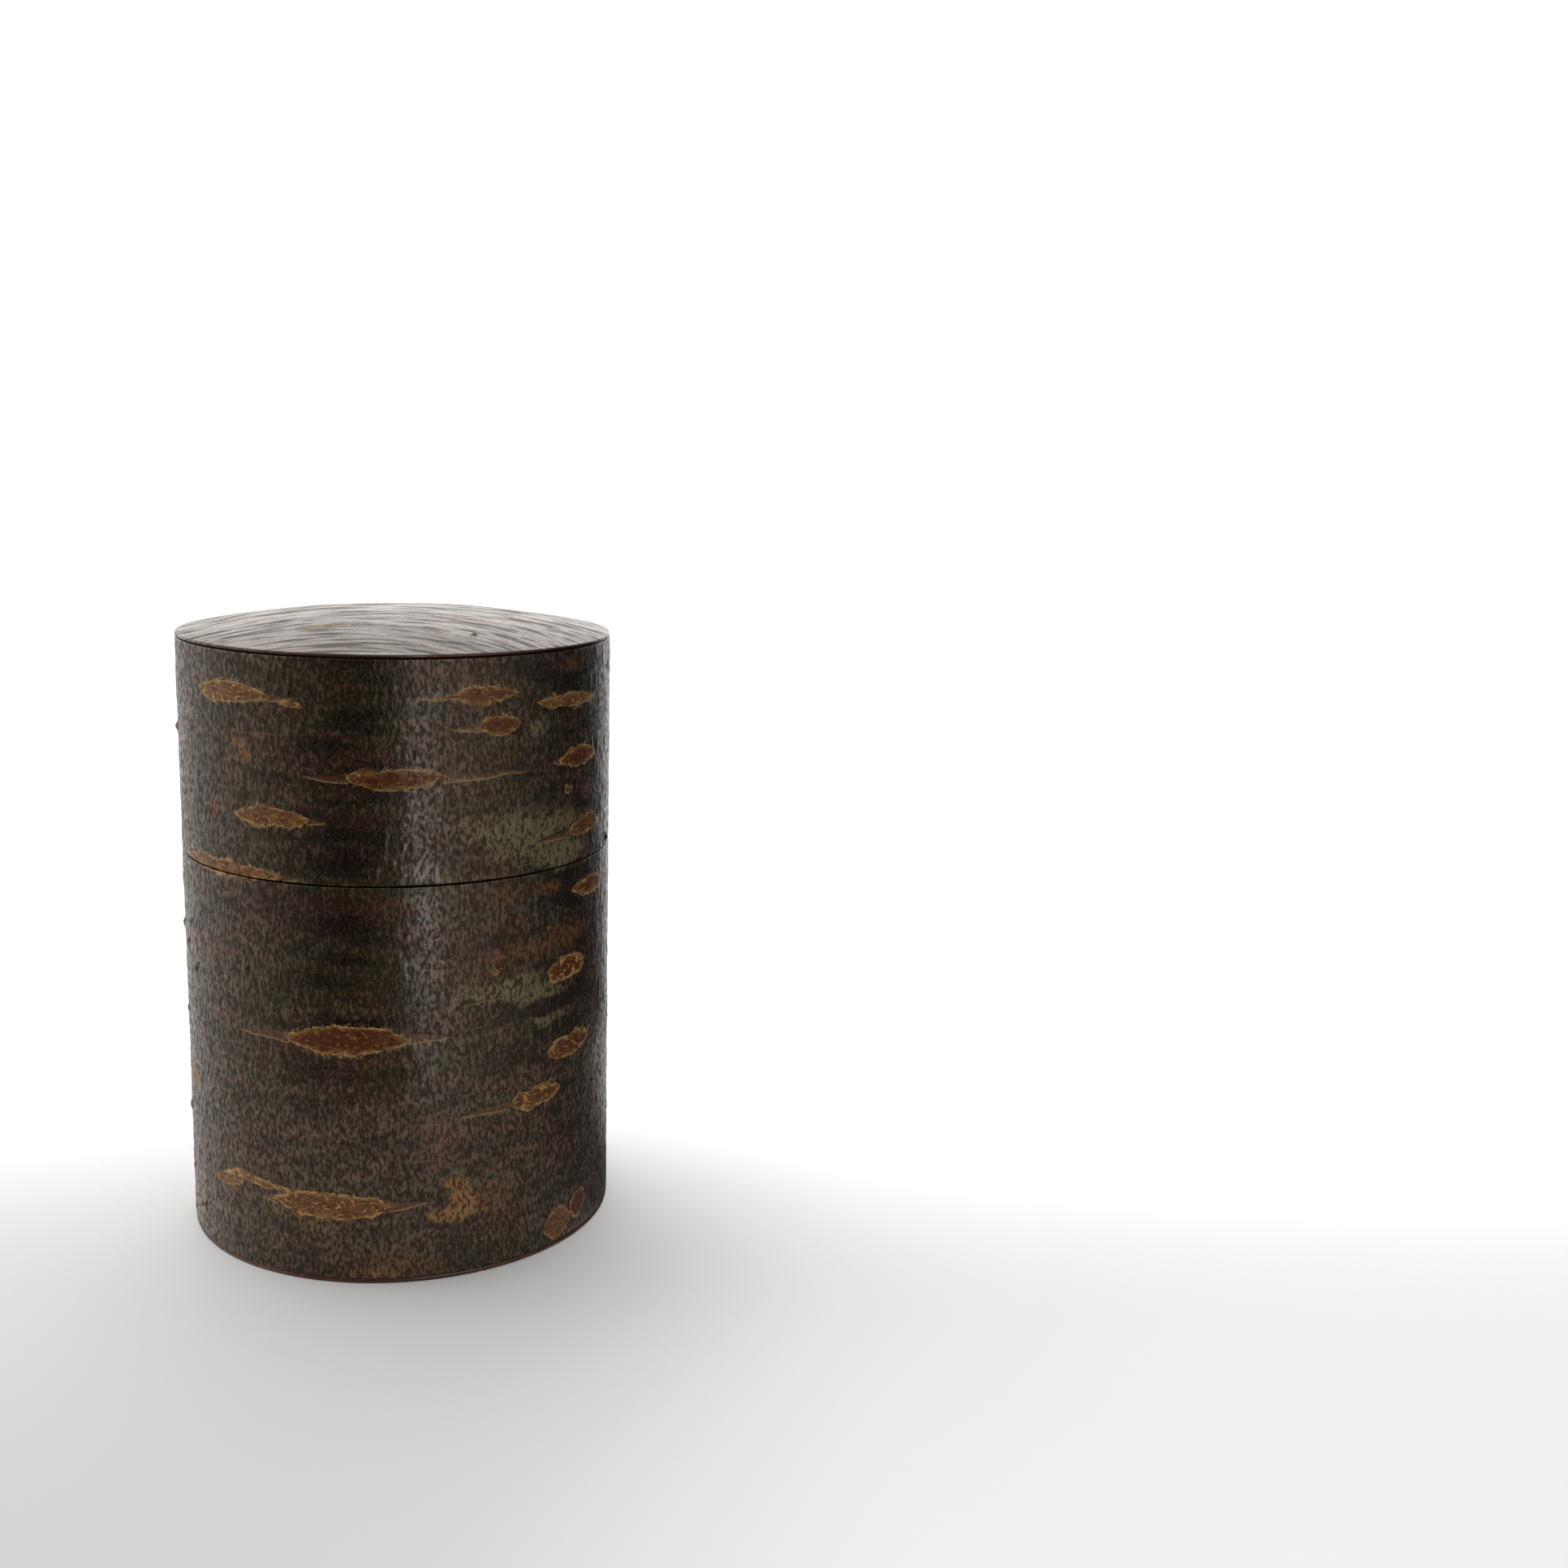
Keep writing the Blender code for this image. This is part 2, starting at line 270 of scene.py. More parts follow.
surround_rings = [(0.13, 0.0005), (0.9, 0.0005), (1.0, 0.1), (1.0, 1.0)]
points = [
    ring_point(radius, height, k, SURROUND_SIDES)
    for radius, height in surround_rings
    for k in range(SURROUND_SIDES)
]
faces = ring_faces(len(surround_rings), SURROUND_SIDES)
surround = add_mesh("paper_surround", points, faces, surround_paper)
surround.visible_camera = False
surround.visible_diffuse = False
surround.visible_shadow = False
surround.visible_transmission = False


def soft_light(name, place, aim, width, height, power, colour):
    data = bpy.data.lights.new(name, "AREA")
    data.shape = "RECTANGLE"
    data.size = width
    data.size_y = height
    data.energy = power
    data.color = colour
    light = bpy.data.objects.new(name, data)
    light.location = place
    light.rotation_euler = (aim - light.location).to_track_quat("-Z", "Y").to_euler()
    light.visible_camera = False
    light.visible_glossy = False
    bpy.context.scene.collection.objects.link(light)


middle = (cad_low + cad_high) / 2
soft_light("overhead", (-0.35, 0.25, 0.9), middle, 0.9, 0.6, 2.8, (1.0, 0.99, 0.97))


# Bark sleeves of the body and the lid
# One sheet of wild cherry bark is wrapped round the closed drum and glued, and the drum is then cut in two,
# so the sheet's marks run on across the cut. Its wrinkled outer skin is kept and waxed.
SHEET_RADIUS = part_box("body_bark_sleeve")[1].x / MM
SHEET_INNER = SHEET_RADIUS - 1.0
GIRTH = math.tau * SHEET_RADIUS  # every size on the sheet is in millimetres
SHEET_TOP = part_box("lid_bark_sleeve")[1].z / MM


def sheet_noise(u, v, across, along, seed):
    """Smooth random values from -1 to 1 that join where the sheet meets itself, round at u = 0.

    across and along are the distances between the random values, round the drum and up it.
    """
    REPEAT = 240  # millimetres up the sheet after which the values come again, well past its height
    columns, rows = max(1, round(GIRTH / across)), int(REPEAT / along)
    values = np.random.default_rng(seed).uniform(-1.0, 1.0, (rows, columns))
    x, y = (u / GIRTH % 1.0) * columns, v / along + rows / 2
    i, j = np.floor(x).astype(int), np.floor(y).astype(int)
    fx, fy = x - i, y - j
    fx, fy = fx * fx * (3 - 2 * fx), fy * fy * (3 - 2 * fy)
    left = values[j % rows, i % columns] * (1 - fy) + values[(j + 1) % rows, i % columns] * fy
    right = values[j % rows, (i + 1) % columns] * (1 - fy) + values[(j + 1) % rows, (i + 1) % columns] * fy
    return left * (1 - fx) + right * fx


# Lenticels, the bark's breathing pores: degrees round from the front, height, half length, half height,
# tilt, redness, veins, and the length of the crack that runs on from the left and the right end.
lenticels = [
    (-33.3, 108.2, 9.2, 2.0, 0.00, 0.35, 1.0, 0, 6),
    (-14.5, 107.4, 2.0, 0.8, -0.05, 0.50, 0.3, 0, 0),
    (33.1, 108.9, 7.7, 1.6, 0.00, 0.55, 0.6, 5, 0),
    (37.7, 103.3, 4.3, 1.6, 0.02, 1.00, 0.2, 6, 0),
    (61.0, 106.4, 8.5, 1.4, -0.03, 0.40, 0.9, 0, 3),
    (65.0, 95.5, 6.3, 1.9, 0.00, 0.75, 0.3, 2, 2),
    (11.5, 94.6, 8.6, 2.1, 0.00, 0.80, 0.4, 9, 18),
    (-21.5, 86.7, 8.0, 1.9, 0.00, 0.40, 0.5, 0, 4),
    (60.7, 89.9, 1.2, 0.9, 0.00, 0.90, 0.0, 0, 0),
    (-37.0, 76.2, 14.5, 1.6, -0.01, 0.20, 0.6, 0, 4),
    (68.0, 81.8, 6.0, 1.8, 0.06, 0.55, 0.4, 8, 0),
    (71.0, 69.8, 6.4, 1.8, 0.00, 0.60, 0.5, 0, 0),
    (60.0, 55.4, 6.4, 2.6, 0.00, 0.65, 1.0, 0, 0),
    (36.0, 57.8, 1.3, 0.6, 0.00, 0.30, 0.0, 0, 0),
    (-2.0, 46.7, 11.7, 2.7, 0.01, 1.00, 0.35, 12, 8),
    (61.5, 39.8, 6.9, 2.5, 0.04, 0.60, 0.9, 0, 2),
    (48.3, 32.0, 6.2, 2.2, 0.05, 0.60, 0.9, 11, 0),
    (-62.0, 32.0, 5.5, 1.6, 0.00, 0.15, 0.5, 0, 0),
    (-29.0, 17.6, 7.6, 1.0, -0.05, 0.60, 0.3, 0, 4),
    (-40.0, 16.0, 4.6, 1.4, 0.12, 0.25, 0.4, 0, 0),
    (-7.0, 15.0, 11.2, 2.6, 0.01, 0.50, 0.9, 4, 8),
    (56.5, 4.6, 3.6, 3.2, 0.10, 0.30, 0.0, 0, 0),
    (65.6, 6.3, 2.9, 2.6, 0.10, 1.00, 0.0, 0, 0),
]
# Stains in the sheet: degrees round from the front, height, half length, half height, tilt and strength.
stains = {
    "rust": [
        (-30.5, 100.0, 6.0, 1.3, 0.00, 1.0), (-27.5, 98.2, 2.8, 2.0, 0.00, 1.1),
        (40.0, 97.0, 5.5, 2.2, 0.00, 0.6), (54.5, 71.8, 3.6, 1.7, 0.05, 1.0),
        (40.0, 72.0, 5.0, 2.5, 0.00, 0.7), (60.0, 61.8, 8.0, 2.8, 0.00, 0.9),
        (42.0, 60.5, 11.0, 2.2, 0.03, 0.85), (13.0, 3.5, 9.0, 2.8, 0.00, 0.75),
        (61.7, 113.3, 1.7, 1.3, 0.00, 0.9), (34.0, 14.5, 6.0, 3.5, 0.00, 0.75),
        (44.0, 22.0, 9.0, 2.4, 0.02, 0.5), (-10.0, 13.0, 16.0, 4.5, 0.00, 0.60),
        (45.0, 28.0, 8.0, 2.0, 0.00, 0.4), (-36.0, 17.0, 10.0, 2.6, 0.00, 0.5),
        (66.0, 77.0, 5.0, 1.5, 0.00, 0.4),
    ],
    "tan": [
        (24.0, 18.3, 3.2, 1.3, 0.15, 0.9), (27.5, 16.0, 2.5, 4.6, 0.00, 1.3),
        (25.0, 12.8, 4.6, 2.0, 0.10, 1.2), (-60.5, 97.6, 3.2, 2.3, 0.00, 0.8),
        (-27.5, 98.6, 1.8, 1.5, 0.00, 0.8), (54.0, 64.0, 2.5, 0.8, 0.00, 0.8),
        (-60.0, 14.0, 3.0, 2.0, 0.00, 0.6), (4.0, 2.0, 7.0, 1.3, 0.00, 0.5),
        (-56.0, 76.5, 6.0, 1.3, 0.00, 0.9),
    ],
    "lichen": [
        (50.0, 82.0, 13.5, 5.6, 0.00, 1.2), (41.0, 84.5, 10.0, 3.6, 0.00, 1.2),
        (58.0, 78.0, 9.0, 3.2, 0.00, 1.3), (49.5, 102.4, 2.4, 1.5, 0.00, 1.1),
        (40.0, 54.2, 10.5, 2.8, 0.00, 1.2), (50.0, 52.3, 7.0, 2.0, 0.00, 1.2),
        (54.0, 46.8, 7.0, 1.3, 0.00, 1.0), (-3.0, 52.4, 13.0, 1.8, 0.00, 0.5),
        (4.0, 23.3, 5.0, 0.9, 0.00, 0.7), (20.0, 77.5, 6.0, 3.0, 0.00, 0.45),
        (46.0, 69.0, 5.0, 1.6, 0.00, 0.35), (60.0, 17.0, 8.0, 3.0, 0.00, 0.35),
    ],
    "rose": [
        (20.0, 27.5, 4.6, 7.0, 0.00, 0.9), (18.0, 111.5, 3.2, 4.6, 0.00, 0.7),
        (-38.8, 86.8, 3.6, 2.3, 0.00, 1.4), (-38.5, 60.2, 4.6, 1.2, -0.05, 1.2),
        (-50.0, 61.0, 10.0, 2.6, 0.00, 1.1), (-56.0, 18.5, 7.0, 1.8, 0.00, 0.9),
        (21.5, 58.4, 3.8, 1.4, 0.00, 1.1), (-46.0, 102.0, 9.0, 1.8, 0.00, 0.5),
        (-3.0, 27.0, 14.0, 3.0, 0.00, 0.5), (64.0, 34.0, 6.0, 3.0, 0.00, 0.5),
        (44.0, 37.5, 7.0, 1.6, 0.00, 0.5), (30.0, 91.0, 9.0, 3.0, 0.00, 0.4),
    ],
    "dark_band": [
        (50.5, 49.2, 9.0, 1.6, 0.03, 1.9), (11.5, 97.3, 9.0, 0.8, 0.00, 0.8),
        (-2.0, 50.3, 10.0, 0.8, 0.00, 0.7), (-6.0, 40.0, 8.0, 2.5, 0.00, 0.4),
        (4.0, 26.0, 6.0, 2.0, 0.00, 0.6), (-7.0, 18.4, 9.0, 0.6, 0.00, 0.7),
        (3.0, 112.0, 14.0, 4.0, 0.00, 0.4), (66.0, 104.0, 6.0, 3.0, 0.00, 0.5),
        (40.0, 58.8, 5.0, 1.0, 0.00, 0.5),
    ],
}
# Hair cracks: degrees round from the front where each starts, height, length, slope and half width.
hair_cracks = [
    (-63.0, 103.2, 13.0, -0.04, 0.18), (-30.0, 101.6, 12.0, 0.02, 0.14), (27.0, 52.6, 10.0, 0.03, 0.16),
    (13.5, 23.4, 6.0, 0.00, 0.12), (16.0, 59.6, 9.0, 0.02, 0.12), (52.0, 81.0, 7.0, 0.12, 0.22),
    (42.0, 76.9, 5.0, 0.10, 0.14), (28.0, 48.0, 6.0, -0.02, 0.12), (12.0, 30.4, 11.0, 0.00, 0.10),
]
# Broken-off stubs of twigs and buds: degrees round from the front, height, and size.
nubs = [
    (-29.9, 58.0, 0.55), (-54.6, 54.0, 0.50), (-58.0, 62.5, 0.45), (-62.0, 58.2, 0.60),
    (-58.8, 87.2, 0.50), (-54.0, 7.0, 0.50), (-68.0, 24.0, 1.00), (-72.0, 60.0, 0.80), (86.0, 76.8, 0.80),
    (-70.0, 98.5, 0.70), (-66.0, 44.0, 0.60), (130.0, 31.0, 0.70), (171.0, 88.0, 0.60),
    (212.0, 52.0, 0.80), (244.0, 101.0, 0.60),
]

# The rest of the sheet, out of the front's sight, carries the same kinds of marks at random places.
drawn = random.Random(11)
while len(lenticels) < 56:
    degrees, height = drawn.uniform(88, 282), drawn.uniform(3, 113)
    half_length = drawn.uniform(2.5, 11.5)
    clear = all(
        abs(height - other[1]) > 5.5
        or abs((degrees - other[0] + 180) % 360 - 180) * GIRTH / 360 > half_length + other[2] + 6
        for other in lenticels
    )
    if clear:
        half_height = 0.7 + half_length * drawn.uniform(0.11, 0.18)
        cracks = [drawn.choice((0, 0, 3, 6, 10)) for _ in range(2)]
        lenticels.append((degrees, height, half_length, half_height, drawn.uniform(-0.03, 0.05),
                          drawn.uniform(0.2, 1.0), drawn.uniform(0.2, 1.0), *cracks))
for kind, count in {"rust": 16, "tan": 5, "lichen": 12, "rose": 14, "dark_band": 12}.items():
    for _ in range(count):
        stains[kind].append((drawn.uniform(88, 282), drawn.uniform(2, 115), drawn.uniform(2, 11),
                             drawn.uniform(1.0, 3.6), drawn.uniform(-0.03, 0.05), drawn.uniform(0.4, 1.2)))
for _ in range(14):
    hair_cracks.append((drawn.uniform(88, 272), drawn.uniform(4, 113), drawn.uniform(5, 14),
                        drawn.uniform(-0.04, 0.06), drawn.uniform(0.10, 0.2)))


def round_to(u, degrees):
    """Distance round the sheet from a bearing, from minus half the girth to half."""
    return (u - degrees * GIRTH / 360 + GIRTH / 2) % GIRTH - GIRTH / 2


def bark_marks(u, v, lenticels, stains, hair_cracks, nubs):
    """What lies at points of the sheet, u round it from the front and v up it, as named fields.

    pore is the depth inside the nearest lenticel, below 0 outside it. crack_off is the distance above the
    nearest crack's middle, and crack_half is that crack's half width, below 0 where there is none.
    """
    wobble_u = u + 0.7 * sheet_noise(u, v, 3.1, 1.9, 21)
    wobble_v = v + 0.45 * sheet_noise(u, v, 2.7, 1.7, 22) + 0.18 * sheet_noise(u, v, 0.9, 0.9, 23)
    pore = np.full(u.shape, -6.0)
    redness, veins = np.zeros(u.shape), np.zeros(u.shape)
    crack_off, crack_half = np.full(u.shape, 9.0), np.full(u.shape, -1.0)
    cracks = list(hair_cracks)
    for degrees, height, half_length, half_height, tilt, red, vein, left, right in lenticels:
        du = round_to(wobble_u, degrees)
        dv = wobble_v - height - tilt * du
        along = np.clip(np.abs(du) / half_length, 0, 1)
        past_end = np.maximum(np.abs(du) - half_length, 0)
        inside = half_height * (1 - along ** 2.3) ** 0.8 - np.abs(dv)
        reach = np.where(past_end > 0, -np.hypot(past_end, dv), inside)
        nearer = reach > pore
        pore = np.where(nearer, reach, pore)
        redness = np.where(nearer, red, redness)
        veins = np.where(nearer, vein, veins)
        for side, length in ((-1, left), (1, right)):
            if length:
                start = 0.93 * side * half_length
                bearing = degrees + start * 360 / GIRTH
                half = 0.35 + 0.28 * half_height
                cracks.append((bearing, height + tilt * start, side * length, tilt, half))
    for degrees, height, length, slope, half in cracks:
        du = round_to(u, degrees) * np.sign(length)
        run = du / abs(length)
        off = v + 0.25 * sheet_noise(u, v, 4.0, 50.0, 24) - height - slope * np.sign(length) * du
        near = (run > 0) & (run < 1) & (np.abs(off) < 2.0)
        width = np.where(near, half * (1 - np.clip(run, 0, 1)) ** 0.8, -1.0)
        nearer = width - np.abs(off) > crack_half - np.abs(crack_off)
        nearer &= width > -1
        crack_off = np.where(nearer, off, crack_off)
        crack_half = np.where(nearer, width, crack_half)
    fields = {"pore": pore, "redness": redness, "veins": veins}
    fields |= {"crack_off": crack_off, "crack_half": crack_half}
    stain_u = u + 1.6 * sheet_noise(u, v, 5.0, 3.0, 25)
    stain_v = v + 0.9 * sheet_noise(u, v, 4.0, 2.2, 26)
    for kind, patches in stains.items():
        strongest = np.zeros(u.shape)
        for degrees, height, half_length, half_height, tilt, strength in patches:
            du = round_to(stain_u, degrees)
            dv = stain_v - height - tilt * du
            spread = 1 - (du / half_length) ** 2 / 1.6 - (dv / half_height) ** 2 / 1.6
            strongest = np.maximum(strongest, strength * np.clip(spread, 0, 1))
        fields[kind] = strongest
    fields["nub"] = np.zeros(u.shape)
    for degrees, height, size in nubs:
        away = np.hypot(round_to(u, degrees), v - height) / size
        fields["nub"] = np.maximum(fields["nub"], np.exp(-away ** 2))
    return fields


def eased(value, low, high):
    share = np.clip((value - low) / (high - low), 0, 1)
    return share * share * (3 - 2 * share)


def bark_relief(u, v, fields):
    """How far the skin stands proud of the drum, in millimetres: wrinkles, raised pores and open cracks."""
    sway = u + 0.5 * sheet_noise(u, v, 2.4, 2.4, 31)
    wrinkles = sheet_noise(sway, v, 1.0, 2.2, 32) + 0.5 * sheet_noise(sway, v, 0.7, 1.4, 33)
    wrinkles = eased(wrinkles, 0.05, 0.85)
    swell = sheet_noise(u, v, 9.0, 6.0, 34)
    on_pore = eased(fields["pore"], -0.5, 0.4)
    lumps = sheet_noise(u, v, 1.6, 1.1, 35) * on_pore
    rim = np.exp(-((fields["pore"] - 0.25) / 0.35) ** 2)
    crack = np.clip(fields["crack_half"], 0, 1) * np.exp(-(fields["crack_off"] / 0.4) ** 2)
    relief = 0.065 * wrinkles * (1 - 0.75 * on_pore) + 0.03 * swell + 0.05 * lumps + 0.09 * rim
    return relief + 0.05 * on_pore - 0.32 * crack + 0.45 * fields["nub"]


def set_fields(piece, fields):
    for name, values in fields.items():
        kind, key = ("FLOAT_VECTOR", "vector") if values.ndim == 2 else ("FLOAT", "value")
        attribute = piece.data.attributes.new(name, kind, "POINT")
        attribute.data.foreach_set(key, values.astype(np.float32).ravel())


def bark_sleeve(name, node_name, bottom, top, columns, rows, material):
    """A sleeve of the sheet between two heights, with rounded lips and a plain inner face."""
    LIP = 0.22
    heights = np.linspace(bottom + LIP, top - LIP, rows)
    lip = [(LIP * math.cos(turn), LIP * math.sin(turn)) for turn in np.radians([30, 60, 90])]
    lower = [(SHEET_RADIUS - LIP + out, bottom + LIP - down) for out, down in lip[::-1]]
    upper = [(SHEET_RADIUS - LIP + out, top - LIP + up) for out, up in lip]
    outline = [(SHEET_INNER, top), (SHEET_INNER, bottom)] + lower
    outline += [(SHEET_RADIUS, h) for h in heights] + upper + [(SHEET_INNER, top)]
    radius, height = np.array(outline).T
    angle = np.arange(columns) * math.tau / columns
    R, A = np.meshgrid(radius, angle, indexing="ij")
    Z = np.repeat(height[:, None], columns, 1)
    u, v = (A * SHEET_RADIUS).ravel(), Z.ravel()
    fields = bark_marks(u, v, lenticels, stains, hair_cracks, nubs)
    relief = bark_relief(u, v, fields)
    outer = eased(R.ravel(), SHEET_RADIUS - 1.5 * LIP, SHEET_RADIUS - 0.2 * LIP)
    out = (R.ravel() + relief * outer) * MM
    points = np.stack([out * np.sin(A.ravel()), -out * np.cos(A.ravel()), v * MM], 1)
    piece = add_mesh(name, points.tolist(), ring_faces(len(outline), columns), material)
    set_fields(piece, fields)
    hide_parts(node_name)
    return piece


def new_group(name, inputs, outputs):
    """A node group. Its inputs and outputs are given by name, each with its kind of socket."""
    group = bpy.data.node_groups.new(name, "ShaderNodeTree")
    for socket, kind in inputs.items():
        group.interface.new_socket(socket, in_out="INPUT", socket_type="NodeSocket" + kind)
    for socket, kind in outputs.items():
        group.interface.new_socket(socket, in_out="OUTPUT", socket_type="NodeSocket" + kind)
    return group, group.nodes.new("NodeGroupInput").outputs, group.nodes.new("NodeGroupOutput").inputs


def use_group(tree, group, inputs):
    made = tree.nodes.new("ShaderNodeGroup")
    made.node_tree = group
    for key, value in inputs.items():
        if isinstance(value, bpy.types.NodeSocket):
            tree.links.new(value, made.inputs[key])
        else:
            made.inputs[key].default_value = value
    return made.outputs


def field(tree, name):
    """A mesh's field, as the shader reads it."""
    return node(tree, "Attribute", attribute_name=name).outputs["Fac"]


def noise(tree, vector, scale, detail=2.0, roughness=0.5, distortion=0.0):
    sockets = {"Vector": vector, "Scale": scale, "Detail": detail, "Roughness": roughness}
    return node(tree, "TexNoise", {**sockets, "Distortion": distortion}).outputs["Fac"]


# The crepe: short upright wrinkles about a millimetre apart. Its grain is stretched along the wrinkles.
crepe, given, result = new_group(
    "bark_crepe",
    {"Grain": "Vector", "Pitch": "Float"},
    {"Height": "Float", "Ridge": "Float", "Valley": "Float"},
)
tree = crepe
coarse = noise(tree, given["Grain"], maths(tree, "DIVIDE", 1.0, given["Pitch"]), 0.0, distortion=0.35)
fine = noise(tree, given["Grain"], maths(tree, "DIVIDE", 2.2, given["Pitch"]), 2.0, distortion=0.3)
height = plus(tree, times(tree, coarse, 0.6), times(tree, fine, 0.4))
tree.links.new(height, result["Height"])
tree.links.new(smooth_step(tree, height, 0.51, 0.64), result["Ridge"])
tree.links.new(smooth_step(tree, height, 0.485, 0.415), result["Valley"])

# A mask with a ragged edge: how far a field rises past zero, pushed about by noise along the grain.
ragged, given, result = new_group(
    "ragged_mask",
    {"Field": "Float", "Grain": "Vector", "Push": "Float", "Speck": "Float", "Softness": "Float"},
    {"Mask": "Float"},
)
push = minus(ragged, noise(ragged, given["Grain"], given["Speck"], 3.0, 0.65), 0.5)
pushed = plus(ragged, given["Field"], times(ragged, push, given["Push"]))
ragged.links.new(smooth_step(ragged, pushed, 0.0, given["Softness"]), result["Mask"])

# A lenticel's corky filling: a broken golden outline with lumps below it, then rust and a red-brown core
# drawn out sideways, with pale veins between the cells and dark pits.
pore_fill, given, result = new_group(
    "lenticel_filling",
    {"Depth": "Float", "Redness": "Float", "Veins": "Float", "Skin": "Vector"},
    {"Colour": "Color", "Mask": "Float", "Edge shade": "Float", "Height": "Float"},
)
tree = pore_fill
fibre = vector_maths(tree, "MULTIPLY", given["Skin"], (1.0, 1.0, 2.6))
cork = noise(tree, fibre, 0.55, 4.0, 0.6)
edge_noise = noise(tree, given["Skin"], 1.25, 3.0, 0.6)
depth = plus(tree, given["Depth"], times(tree, minus(tree, edge_noise, 0.5), 1.4))
lumps = times(tree, smooth_step(tree, given["Depth"], -0.9, -0.2),
              smooth_step(tree, noise(tree, given["Skin"], 0.95, 2.0, 0.5), 0.56, 0.64))
inside = smooth_step(tree, depth, -0.12, 0.20)
mask = maths(tree, "MAXIMUM", inside, times(tree, lumps, 0.7))
outline = mix_colour(tree, smooth_step(tree, cork, 0.40, 0.62), (0.23, 0.115, 0.034), (0.64, 0.40, 0.145))
filling = mix_colour(tree, smooth_step(tree, cork, 0.36, 0.60), (0.095, 0.033, 0.011),
                     (0.26, 0.122, 0.040))
colour = mix_colour(tree, smooth_step(tree, depth, 0.22, 0.55), outline, filling)
core_reach = plus(tree, depth, times(tree, edge_noise, 0.9))
core = times(tree, smooth_step(tree, core_reach, 1.0, 1.5), smooth_step(tree, given["Redness"], 0.1, 0.8))
colour = mix_colour(tree, core, colour, (0.100, 0.021, 0.004))
bend = node(tree, "TexNoise", {"Vector": given["Skin"], "Scale": 0.8, "Detail": 2.0}).outputs["Color"]
bent = vector_maths(tree, "MULTIPLY_ADD", bend, (2.4,) * 3, fibre)
cells = node(tree, "TexVoronoi", {"Vector": bent, "Scale": 0.36, "Randomness": 1.0},
             feature="DISTANCE_TO_EDGE").outputs["Distance"]
vein = times(tree, smooth_step(tree, cells, 0.12, 0.02), given["Veins"])
vein = times(tree, vein, smooth_step(tree, depth, 0.15, 0.4))
vein = times(tree, vein, smooth_step(tree, edge_noise, 0.48, 0.60))
colour = mix_colour(tree, vein, colour, (0.72, 0.38, 0.085))
pits = smooth_step(tree, noise(tree, given["Skin"], 1.9, 2.0, 0.6), 0.60, 0.70)
colour = darken(tree, colour, pits, 0.85)
# Painted shade: a dark ring on the bark just outside the lenticel's raised edge.
edge_shade = times(tree, smooth_step(tree, depth, -1.0, -0.2), smooth_step(tree, edge_noise, 0.34, 0.56))
tree.links.new(colour, result["Colour"])
tree.links.new(mask, result["Mask"])
tree.links.new(edge_shade, result["Edge shade"])
height = plus(tree, vein, times(tree, pits, -1.5))
height = plus(tree, height, times(tree, cork, 1.5))
tree.links.new(height, result["Height"])


def in_millimetres(tree, stretch, laid_out=None):
    """A place on the piece in millimetres, each axis times its stretch.

    The place is in the piece's own coordinates, or in a field that lays its surface out.
    """
    if laid_out:
        place = node(tree, "Attribute", attribute_name=laid_out).outputs["Vector"]
    else:
        own = node(tree, "TexCoord").outputs["Object"]
        place = vector_maths(tree, "MULTIPLY", own, (1000.0,) * 3)
    return vector_maths(tree, "MULTIPLY", place, stretch)


